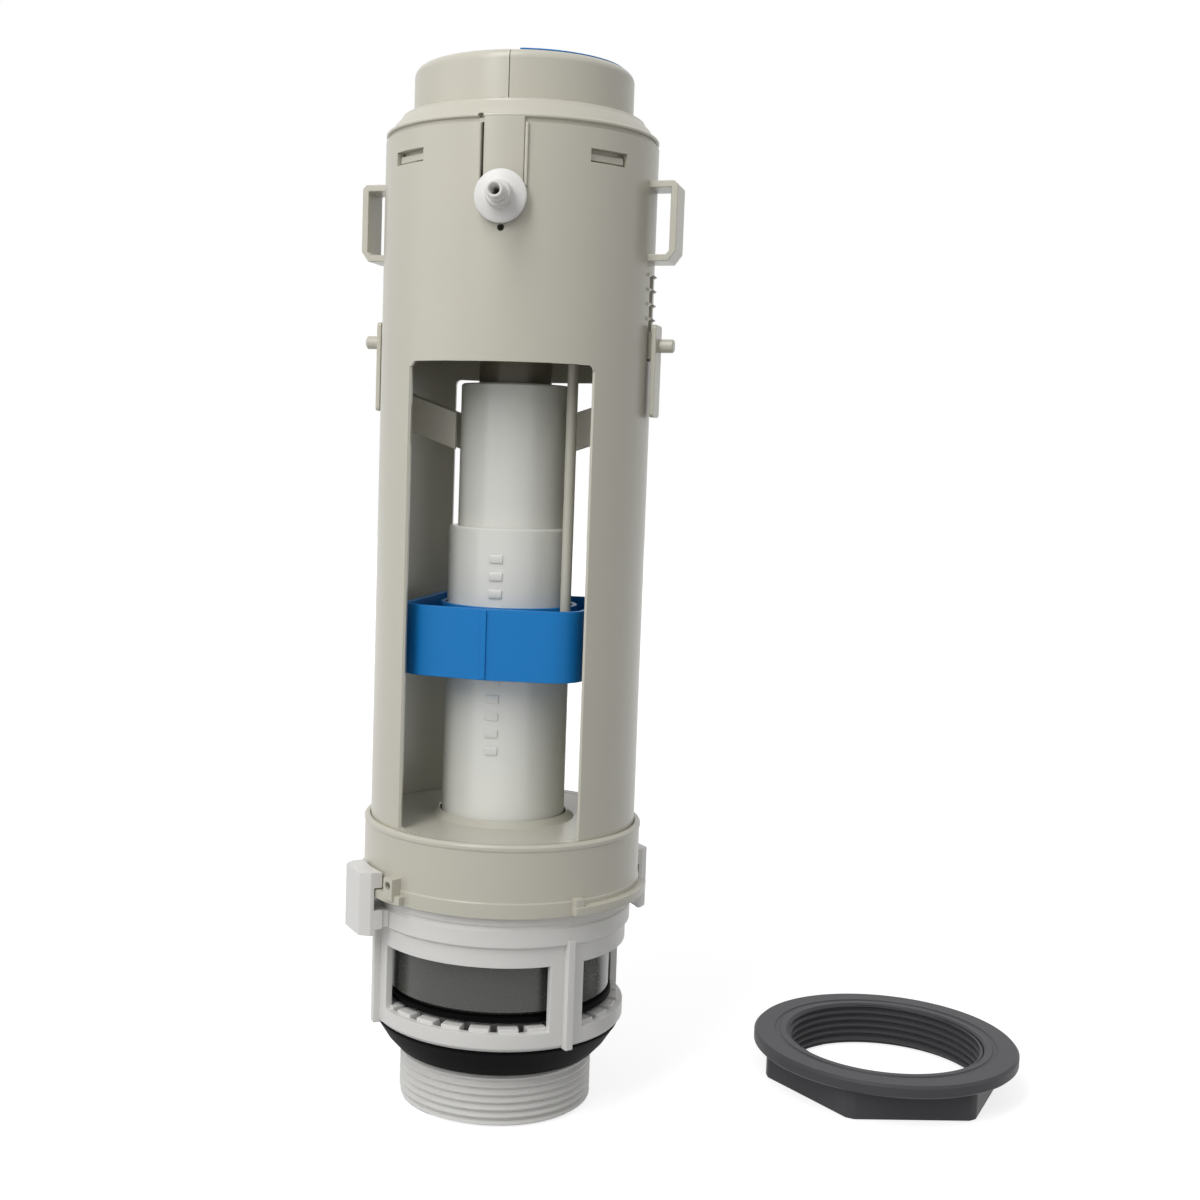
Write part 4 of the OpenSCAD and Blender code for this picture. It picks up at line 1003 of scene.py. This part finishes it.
class VALVE_OT_shell(bpy.types.Operator):
    """Models the tower's tube with its windows, slots, loops, racks and tube guides"""
    bl_idname = "valve.shell"
    bl_label = "Tower shell"

    def execute(self, context):
        edge = context.scene.valve_sizes.jamb_edge / MM
        inner = SHELL_R - SHELL_WALL
        piece = ring("shell_moulding", (inner, SHELL_R), (SHELL_Z, SHELL_TOP))
        for side, inset in ((FRONT, 0), (-FRONT, REAR_INSET)):
            self.window(piece, side, WINDOW_W - 2 * inset, WINDOW_Z[1] - inset, edge)
        tongue_slot = TONGUE_W / 2 + TONGUE_GAP
        slots = [(2 * tongue_slot, (TONGUE_Z - TONGUE_GAP, SHELL_TOP + SPARE), 0)]
        slots += [(SNAP_W, SNAP_Z, angle) for angle in (-SNAP_TURN, SNAP_TURN)]
        slots += [(SIDE_SLOT_W, SIDE_SLOT_Z, angle - SIDE_TURN) for angle in (-90, 90)]
        for width, (bottom, top), angle in slots:
            cutter = block(
                "cutter", (-width / 2, -SHELL_R - SPARE, bottom), (width / 2, -SHELL_R / 2, top))
            combine(piece, turn(cutter, angle))
        combine(piece, rod(
            "cutter", DRAIN_R, inner - SPARE, SHELL_R + SPARE, origin=(0, 0, DRAIN_Z), along=FRONT,
            steps=PINHOLE_STEPS))
        soften(piece)
        rib = soften(block(
            "slot_rib", (tongue_slot + SLOT_RIB_X[0], -SHELL_R - SLOT_RIB_OUT, TONGUE_Z + SLOT_RIB_FOOT),
            (tongue_slot + SLOT_RIB_X[1], -SHELL_R + SLOT_RIB_IN, SHELL_TOP - SLOT_RIB_GAP)))
        end, front, back = inner + GUIDE_RIB_SINK, *GUIDE_RIB_Y
        guide = soften(prism("guide_rib", [
            (end, front, GUIDE_RIB_TOP), (end, front, GUIDE_RIB_TOP - GUIDE_RIB_H),
            (GUIDE_RIB_X, front, GUIDE_RIB_TOP - GUIDE_RIB_H - GUIDE_RIB_SLOPE),
            (GUIDE_RIB_X, front, GUIDE_RIB_TOP - GUIDE_RIB_SLOPE)], (0, back - front, 0)))
        parts = [rib, guide, copy_of(guide, step=(0, -front - back, 0))]
        join(piece, *self.side_parts(), *parts, *[mirrored(part) for part in parts])
        settle(piece, "tower", "ABS beige", "beige_plastic", "tower_shell")
        return {"FINISHED"}

    def window(self, piece, side, width, top, edge):
        """Cuts a window on one side and splays its jambs outwards."""
        bottom, half = WINDOW_Z[0], width / 2
        middle, height = (bottom + top) / 2, top - bottom
        combine(piece, prism("cutter", [
            (u, 0, middle + v) for u, v in rounded(width, height, WINDOW_CORNER)], side * (SHELL_R + SPARE)))
        depth, (aside, out) = math.sqrt(SHELL_R ** 2 - half ** 2) - edge, JAMB_SPLAY
        splay = ((-half, depth), (-half - aside, depth + out), (half + aside, depth + out), (half, depth))
        combine(piece, prism(
            "cutter", [(u, side.y * v, bottom) for u, v in splay], UP * (height - WINDOW_CORNER)))

    def side_parts(self):
        """The loops and rack teeth of both sides."""
        foot, rim, inside, (bottom, top) = SHELL_R - LOOP_SINK, LOOP_R, LOOP_R - LOOP_T, LOOP_Z
        outline = (
            (foot, bottom), (rim - LOOP_CHAMFER[0], bottom), (rim, bottom + LOOP_CHAMFER[1]),
            (rim, top - LOOP_CORNER), (rim - LOOP_CORNER, top), (foot, top), (foot, top - LOOP_T),
            (inside, top - LOOP_T), (inside, bottom + LOOP_T + LOOP_FILLET),
            (inside - LOOP_FILLET, bottom + LOOP_T), (foot, bottom + LOOP_T))
        parts = [soften(prism(
            "loop", [(x, -LOOP_W / 2, z) for x, z in outline], (0, LOOP_W, 0)))]
        root, (front, back) = SHELL_R - TOOTH_SINK, TOOTH_Y
        tooth = soften(prism("tooth", [
            (root, front, 0), (SHELL_R + TOOTH_OUT, front, TOOTH_H / 2), (root, front, TOOTH_H)],
            (0, back - front, 0)), TOOTH_EDGE * MM)
        parts += [copy_of(tooth, angle, (0, 0, TOOTH_Z + number * TOOTH_PITCH))
                  for number in range(TOOTH_COUNT) for angle in (-TOOTH_TURN, TOOTH_TURN)]
        bpy.data.objects.remove(tooth)
        return [turn(part, -SIDE_TURN) for part in parts + [mirrored(part) for part in parts]]


class VALVE_OT_cover(bpy.types.Operator):
    """Models the head cover: cone, lip, tongue, snap tabs, deck and rocker bearings"""
    bl_idname = "valve.cover"
    bl_label = "Head cover"

    def execute(self, context):
        rim = SHELL_TOP + context.scene.valve_sizes.rim_gap / MM
        piece = lathe("cover_moulding", [
            (0, DECK_Z[0]), (COVER_R, DECK_Z[0]), (COVER_R, SHELL_TOP), (SHELL_R - RIM_GROOVE, SHELL_TOP),
            (SHELL_R - RIM_GROOVE, rim), *[(SHELL_R + out, rim + up) for out, up in RIM_EDGE],
            *[(SHELL_R + out, SHELL_TOP + up) for out, up in COVER_LIP],
            *[(CONE_TOP_R + out, CONE_TOP + up) for out, up in CONE_EDGE],
            (BUTTON_HOLE_R, CONE_TOP), (BUTTON_HOLE_R, SHELL_TOP + COVER_SHOULDER),
            (COVER_R - COVER_WALL, SHELL_TOP), (COVER_R - COVER_WALL, DECK_Z[1]), (0, DECK_Z[1])], solid=True)
        soften(piece)
        for place in FOOT_PLACES:
            combine(piece, rod(
                "cutter", FOOT_R + FOOT_GAP, DECK_Z[0] - SPARE, DECK_Z[1] + SPARE, origin=(*place, 0),
                steps=HOLE_STEPS))
        combine(piece, turn(rod(
            "cutter", PINHOLE_R, COVER_R, SHELL_R + SPARE, origin=(0, 0, rim + PINHOLE_RISE), along=FRONT,
            steps=PINHOLE_STEPS), PINHOLE_TURN))
        half = math.degrees(math.asin(TONGUE_W / 2 / SHELL_R))
        parts = [soften(arc(
            "tongue", (COVER_R - TONGUE_SINK, SHELL_R), (TONGUE_Z, rim + TONGUE_RISE), -half,
            2 * half + TONGUE_EXTRA, TONGUE_STEPS))]
        half, (bottom, top) = SNAP_W / 2 - SNAP_GAP, SNAP_Z
        back, (low_face, high_face) = TAB_SINK - COVER_R, TAB_DEPTH
        for angle in (-SNAP_TURN, SNAP_TURN):
            tab = prism("tab", [
                (-half, back, bottom + SNAP_GAP), (-half, low_face - SHELL_R, bottom + SNAP_GAP),
                (-half, high_face - SHELL_R, top - 2 * SNAP_GAP), (-half, back, top - SNAP_GAP)],
                (2 * half, 0, 0))
            parts.append(turn(soften(tab), angle))
        join(piece, *parts, *self.bearings())
        settle(piece, "tower", "ABS beige", "beige_plastic", "head_cover")
        return {"FINISHED"}

    def bearings(self):
        """The lugs that hang from the deck and carry the rockers' pins."""
        lugs = []
        for pin, along, axis in (("full_rocker_pin", Y, -FRONT), ("half_rocker_pin", X, RIGHT)):
            across = (low(pin, 1 - along) + high(pin, 1 - along)) / 2
            height = (low(pin, Z) + high(pin, Z)) / 2
            radius = height - low("head_cover", Z)
            hole = (high(pin, Z) - low(pin, Z)) / 2 + BEARING_GAP
            outline = [(across + radius * math.cos(a), height + radius * math.sin(a)) for a in bend(180, 360)]
            outline += [(across + side * radius, DECK_Z[0] + BEARING_SINK) for side in (1, -1)]
            for end, step in ((low(pin, along), BEARING_T), (high(pin, along), -BEARING_T)):
                lug = prism(
                    "bearing", [(u, end, v) if along == Y else (end, u, v) for u, v in outline], axis * step)
                combine(lug, rod(
                    "cutter", hole, end - BEARING_T - SPARE, end + BEARING_T + SPARE, along=axis,
                    origin=(across, 0, height) if along == Y else (0, across, height), steps=HOLE_STEPS))
                lugs.append(soften(lug))
        return lugs


class VALVE_OT_nozzle(bpy.types.Operator):
    """Models the refill spigot with its disc"""
    bl_idname = "valve.nozzle"
    bl_label = "Refill nozzle"

    def execute(self, context):
        piece = lathe(
            "refill_spigot", NOZZLE_OUTLINE, origin=(0, 0, NOZZLE_Z), along=FRONT, steps=NOZZLE_STEPS)
        settle(piece, "tower", "Polypropylene white", "white_plastic", "hose_nozzle")
        return {"FINISHED"}


class VALVE_OT_buttons(bpy.types.Operator):
    """Models both halves of the push button and the blue pad"""
    bl_idname = "valve.buttons"
    bl_label = "Buttons"

    def execute(self, context):
        crown = [(BUTTON_R - BUTTON_ROUND * (1 - math.cos(a)), BUTTON_TOP - BUTTON_ROUND * (1 - math.sin(a)))
                 for a in bend(0, 90)]
        names = (("full_half", "full_button", -1), ("half_half", "half_button", 1))
        for (name, body, side), place in zip(names, FOOT_PLACES):
            piece = lathe(
                name, [(0, BUTTON_LOW), (BUTTON_R, BUTTON_LOW), *crown, (0, BUTTON_TOP)], solid=True)
            bisect(piece, RIGHT * side * BUTTON_GAP, -RIGHT * side)
            hollow = rod("hollow", BUTTON_R - BUTTON_WALL, BUTTON_LOW - SPARE, BUTTON_TOP - BUTTON_CAP)
            bisect(hollow, RIGHT * side * (BUTTON_GAP + BUTTON_WALL), -RIGHT * side)
            combine(piece, hollow)
            bottom, top = low(body, Z), BUTTON_TOP - FOOT_SINK
            foot = lathe("foot", [
                (0, bottom), (FOOT_R - FOOT_CHAMFER, bottom), (FOOT_R, bottom + FOOT_CHAMFER), (FOOT_R, top),
                (0, top)], solid=True, origin=(*place, 0), steps=FOOT_STEPS)
            join(piece, foot)
            settle(piece, body, "ABS beige", "beige_plastic", body)
        pad = lathe("pad_plate", [
            (0, BUTTON_TOP), (PAD_R, BUTTON_TOP),
            *[(PAD_R - inset, BUTTON_TOP + rise) for inset, rise in PAD_TAPER],
            *[(PAD_R - inset, PAD_TOP - drop) for inset, drop in PAD_CROWN], (0, PAD_TOP)], solid=True)
        bisect(pad, RIGHT * PAD_X, -RIGHT)
        soften(pad, PAD_EDGE * MM)
        settle(pad, "half_button", "Polypropylene blue", "blue_plastic", "half_button_pad")
        return {"FINISHED"}


class VALVE_OT_springs(bpy.types.Operator):
    """Winds both return springs"""
    bl_idname = "valve.springs"
    bl_label = "Return springs"

    def execute(self, context):
        names = (("full_coil", "full_button_press", "full_button_spring"),
                 ("half_coil", "half_button_press", "half_button_spring"))
        for (name, joint, node), place in zip(names, FOOT_PLACES):
            wire = [(SPRING_R + SPRING_WIRE * math.cos(a), 0, SPRING_Z[0] + SPRING_WIRE * math.sin(a))
                    for a in bend(0, 330, 30)]
            piece = draw(name, [*wire, wire[0]])
            modify(
                piece, "SCREW", screw_offset=(SPRING_Z[1] - SPRING_Z[0]) / SPRING_TURNS * MM,
                iterations=SPRING_TURNS, steps=SPRING_STEPS, render_steps=SPRING_STEPS)
            edit(piece)
            weld()
            bpy.ops.mesh.fill_holes(sides=0)
            move(close_up(piece), (*place, 0))
            settle(piece, "tower", "Spring steel", "steel", node)
            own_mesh(piece)
        return {"FINISHED"}


class VALVE_OT_rockers(bpy.types.Operator):
    """Rounds the rockers' edges and dresses their pins"""
    bl_idname = "valve.rockers"
    bl_label = "Rockers and pins"

    def execute(self, context):
        for name in ("full_rocker", "half_rocker"):
            settle(cad_copy(f"{name}_lever", name), name, "Acetal grey", "lever_plastic", name)
            dress(f"{name}_pin", "Spring steel")
        return {"FINISHED"}


class VALVE_OT_overflow(bpy.types.Operator):
    """Models the telescopic overflow tube with its marks, the seal carrier, its retainer and the lift stem"""
    bl_idname = "valve.overflow"
    bl_label = "Overflow tube"

    def execute(self, context):
        self.tubes(context.scene.valve_sizes.mark_pitch / MM)
        (bottom, top), wall = CARRIER_Z, CARRIER_R - CARRIER_WALL
        carrier = lathe("carrier_cup", [
            (HUB_R[0], bottom), (CARRIER_R - CARRIER_CHAMFER, bottom), (CARRIER_R, bottom + CARRIER_CHAMFER),
            (CARRIER_R, top - CARRIER_ROUND), (CARRIER_R - CARRIER_ROUND, top), (wall + CARRIER_ROUND, top),
            (wall, top - CARRIER_ROUND), (wall, bottom + CARRIER_FLOOR), (HUB_R[1], bottom + CARRIER_FLOOR),
            (HUB_R[1], bottom + HUB_H), (HUB_R[0], bottom + HUB_H)])
        settle(carrier, "overflow", "Polycarbonate smoky", "smoke_plastic", "seal_carrier")
        bottom, top = RETAINER_Z
        retainer = lathe("retainer_ring", [
            (HUB_R[0], bottom), (RETAINER_R - RETAINER_CHAMFER, bottom),
            (RETAINER_R, bottom + RETAINER_CHAMFER), (RETAINER_R, top), (HUB_R[0], top)])
        settle(retainer, "overflow", "Polypropylene white", "white_plastic", "seal_retainer")
        settle(cad_copy("stem_rod", "lift_stem"), "overflow", "Acetal grey", "lever_plastic", "lift_stem")
        return {"FINISHED"}

    def tubes(self, pitch):
        """The lower tube with its lip and raised marks, and the upper tube that slides in it."""
        inner, lip = LOWER_R - LOWER_WALL, LOWER_TOP - LIP_H
        lower = lathe("lower_pipe", [
            (inner, LOWER_Z), (LOWER_R, LOWER_Z), (LOWER_R, LOWER_TOP - TUBE_ROUND),
            (LOWER_R - TUBE_ROUND, LOWER_TOP), (LIP_R + MOUTH_ROUND, LOWER_TOP),
            (LIP_R, LOWER_TOP - MOUTH_ROUND), (LIP_R, lip), (inner, lip - LIP_SLOPE)])
        mark = soften(arc(
            "mark", (LOWER_R - MARK_OUT, LOWER_R + MARK_OUT), (0, MARK_H), MARK_TURN, MARK_SPAN, MARK_STEPS),
            MARK_EDGE * MM)
        marks = [copy_of(mark, step=(0, 0, LOWER_TOP - MARK_DROP - pitch * number))
                 for number in range(1, MARK_COUNT + 1)]
        bpy.data.objects.remove(mark)
        join(lower, *marks)
        settle(lower, "overflow", "Polypropylene milky", "tube_plastic", "lower_tube")
        inner, foot_top = UPPER_R - UPPER_WALL, UPPER_Z + UPPER_FOOT_H
        upper = lathe("upper_pipe", [
            (inner, UPPER_Z), (UPPER_FOOT_R, UPPER_Z), (UPPER_FOOT_R, foot_top), (UPPER_R, foot_top),
            (UPPER_R, UPPER_TOP - TUBE_ROUND), (UPPER_R - TUBE_ROUND, UPPER_TOP),
            (inner + MOUTH_ROUND, UPPER_TOP), (inner, UPPER_TOP - MOUTH_ROUND)])
        settle(upper, "upper_tube", "Polypropylene milky", "tube_plastic", "upper_tube")


class VALVE_OT_float(bpy.types.Operator):
    """Models the blue float cup with its sleeve and seam, and rounds its link rod"""
    bl_idname = "valve.float"
    bl_label = "Half-flush float"

    def execute(self, context):
        bottom, top = FLOAT_Z
        height = UP * (top - bottom)
        piece = prism("float_cup", [(u, v, bottom) for u, v in bulged(FLOAT_W, FLOAT_CORNER)], height)
        inside = bulged(FLOAT_W - 2 * FLOAT_WALL, FLOAT_CORNER - FLOAT_WALL)
        combine(piece, prism("cutter", [(u, v, bottom + FLOAT_WALL) for u, v in inside], height))
        combine(piece, rod("cutter", SLEEVE_R[0], bottom - SPARE, top + SPARE))
        soften(piece)
        sleeve = soften(
            ring("sleeve", SLEEVE_R, (bottom + SLEEVE_GAP[0], top - SLEEVE_GAP[1])))
        front = FLOAT_W / 2 + FLOAT_RIDGE
        seam = soften(block(
            "seam", (-SEAM_W / 2, -front - SEAM_OUT, bottom + SEAM_GAP),
            (SEAM_W / 2, -front + SEAM_SINK, top - SEAM_GAP)))
        turn(join(piece, sleeve, seam), FLOAT_TURN)
        settle(piece, "half_float", "Polypropylene blue", "blue_plastic", "half_float")
        settle(cad_copy("link_rod", "float_link"), "half_float", "ABS beige", "beige_plastic", "float_link")
        return {"FINISHED"}


class VALVE_OT_sliders(bpy.types.Operator):
    """Models one volume slider and its mirror image"""
    bl_idname = "valve.sliders"
    bl_label = "Volume sliders"

    def execute(self, context):
        width, height = PLATE_SIZE
        inner, outer = PLATE_R
        middle = low("right_slider", Z) + height / 2
        plate = prism("right_volume_slider", [
            (inner, u, middle + v) for u, v in rounded(width, height, PLATE_CORNER, 4)],
            (outer - inner, 0, 0))
        soften(plate)
        pin_z = middle + height / 2 - PIN_DROP
        foot = inner + PLATE_SINK[0]
        pin = lathe("pin", [
            (0, foot), (PIN_R, foot), (PIN_R, PIN_REACH - PIN_ROUND), (PIN_R - PIN_ROUND, PIN_REACH),
            (0, PIN_REACH)], solid=True, origin=(0, 0, pin_z), along=RIGHT, steps=HOLE_STEPS)
        half, rise = SLIDER_NECK
        neck = block(
            "neck", (GATE_R[0] + GATE_SINK, -half, pin_z - rise), (inner + PLATE_SINK[1], half, pin_z + rise))
        gate = block("gate", (GATE_R[0], -width / 2, pin_z - GATE_DROP), (GATE_R[1], width / 2, pin_z + rise))
        join(plate, pin, *[soften(part) for part in (neck, gate)])
        other = mirrored(plate)
        other.name = "left_volume_slider"
        for slider, node in ((plate, "right_slider"), (other, "left_slider")):
            settle(turn(slider, -SIDE_TURN), node, "ABS beige", "beige_plastic", node)
        return {"FINISHED"}


class VALVE_OT_nut(bpy.types.Operator):
    """Models the lock nut with its flange, hexagon and inner thread"""
    bl_idname = "valve.nut"
    bl_label = "Lock nut"

    def execute(self, context):
        sizes = context.scene.valve_sizes
        root = NUT_BORE_R + sizes.thread_depth / MM
        (bottom, top), (under, over) = NUT_FLANGE_Z, NUT_CHAMFER
        piece = prism("nut_moulding", [
            (NUT_HEX_R * math.cos(a), NUT_HEX_R * math.sin(a), 0) for a in bend(0, 300, 60)],
            (0, 0, top - NUT_HEX_GAP))
        turn(piece, NUT_TURN)
        combine(piece, rod("cutter", NUT_CLIP_R, -SPARE, top + SPARE), "INTERSECT")
        combine(piece, rod("cutter", root, -SPARE, top + SPARE))
        soften(piece, sizes.edge)
        flange = lathe("flange", [
            (root, bottom), (NUT_FLANGE_R - under, bottom), (NUT_FLANGE_R, bottom + under),
            (NUT_FLANGE_R, top - over), (NUT_FLANGE_R - over, top),
            *[(radius, top - depth) for radius, depth in NUT_GROOVE], (root + NUT_LEAD, top),
            (root, top - NUT_LEAD)])
        inner_thread = thread("nut_thread", root, NUT_BORE_R, (NUT_LEAD, top - NUT_LEAD))
        move(join(piece, flange, inner_thread), (*NUT_PLACE, 0))
        settle(piece, "lock_nut", "Nylon dark grey", "nut_plastic", "lock_nut")
        return {"FINISHED"}


class VALVE_OT_stage(bpy.types.Operator):
    """Sets the floor, the lights, the surroundings and the camera"""
    bl_idname = "valve.stage"
    bl_label = "Stage"

    def execute(self, context):
        stage = context.scene.valve_stage
        only()
        bpy.ops.mesh.primitive_plane_add(size=FLOOR_SIZE, location=(0, 0, -FLOOR_DROP))
        floor = context.object
        floor.name = "floor"
        floor.data.materials.append(material("Floor pale"))
        for name, (size, place) in LIGHTS.items():
            only()
            aim = (Vector(LIGHT_AIM) - Vector(place)).to_track_quat("-Z", "Y").to_euler()
            bpy.ops.object.light_add(type="AREA", location=place, rotation=aim)
            light = context.object
            light.name = light.data.name = f"{name}_light"
            light.data.energy = getattr(stage, name)
            light.data.shape = "RECTANGLE"
            light.data.size, light.data.size_y = size
        self.surroundings(context.scene, stage.ambient)
        pose = (Matrix.Rotation(stage.azimuth, 4, "Z") @ Matrix.Rotation(math.pi / 2 - stage.pitch, 4, "X")
                @ Matrix.Rotation(stage.roll, 4, "Z"))
        place = (
            stage.distance * math.sin(stage.azimuth), -stage.distance * math.cos(stage.azimuth), stage.height)
        only()
        bpy.ops.object.camera_add(location=place, rotation=pose.to_euler())
        camera = context.object
        camera.name = camera.data.name = "camera"
        camera.data.lens = stage.lens
        camera.data.shift_x = stage.shift
        context.scene.camera = camera
        context.scene.view_settings.view_transform = "Standard"
        return {"FINISHED"}

    def surroundings(self, scene, strength):
        """White where the camera, gloss or a see-through wall meets it, a soft grey light elsewhere."""
        world = bpy.data.worlds.new("Studio")
        scene.world = world
        world.use_nodes = True
        tree = world.node_tree
        tree.nodes.clear()
        level = add_node(
            tree, "ShaderNodeMapRange", {"To Min": strength, "To Max": 1.0},
            [("Value", meets_backdrop(tree))])
        sky = add_node(
            tree, "ShaderNodeBackground", {"Color": WHITE}, [("Strength", level.outputs["Result"])])
        add_node(tree, "ShaderNodeOutputWorld", (), [("Surface", sky.outputs[0])])


OPERATORS = (
    VALVE_OT_basket, VALVE_OT_seals, VALVE_OT_skirt, VALVE_OT_shell, VALVE_OT_cover, VALVE_OT_nozzle,
    VALVE_OT_buttons, VALVE_OT_springs, VALVE_OT_rockers, VALVE_OT_overflow, VALVE_OT_float,
    VALVE_OT_sliders, VALVE_OT_nut, VALVE_OT_stage,
)


class VALVE_PT_panel(bpy.types.Panel):
    """Lists the valve's operators, sizes and colours in the 3D view's sidebar"""
    bl_idname = "VALVE_PT_panel"
    bl_label = "Cistern valve"
    bl_space_type = "VIEW_3D"
    bl_region_type = "UI"
    bl_category = "Valve"

    def draw(self, context):
        for operator in OPERATORS:
            self.layout.operator(operator.bl_idname)
        for group in (context.scene.valve_sizes, context.scene.valve_colours, context.scene.valve_stage):
            box = self.layout.box()
            for name in group.__annotations__:
                box.prop(group, name)


CLASSES = (ValveSizes, ValveColours, ValveStage, *OPERATORS, VALVE_PT_panel)


def register():
    for cls in CLASSES:
        bpy.utils.register_class(cls)
    bpy.types.Scene.valve_sizes = PointerProperty(type=ValveSizes)
    bpy.types.Scene.valve_colours = PointerProperty(type=ValveColours)
    bpy.types.Scene.valve_stage = PointerProperty(type=ValveStage)


def unregister():
    del bpy.types.Scene.valve_stage
    del bpy.types.Scene.valve_colours
    del bpy.types.Scene.valve_sizes
    for cls in reversed(CLASSES):
        bpy.utils.unregister_class(cls)


def main():
    register()
    bpy.ops.valve.basket()
    bpy.ops.valve.seals()
    bpy.ops.valve.skirt()
    bpy.ops.valve.shell()
    bpy.ops.valve.cover()
    bpy.ops.valve.nozzle()
    bpy.ops.valve.buttons()
    bpy.ops.valve.springs()
    bpy.ops.valve.rockers()
    bpy.ops.valve.overflow()
    bpy.ops.valve.float()
    bpy.ops.valve.sliders()
    bpy.ops.valve.nut()
    bpy.ops.valve.stage()


if __name__ == "__main__":
    main()
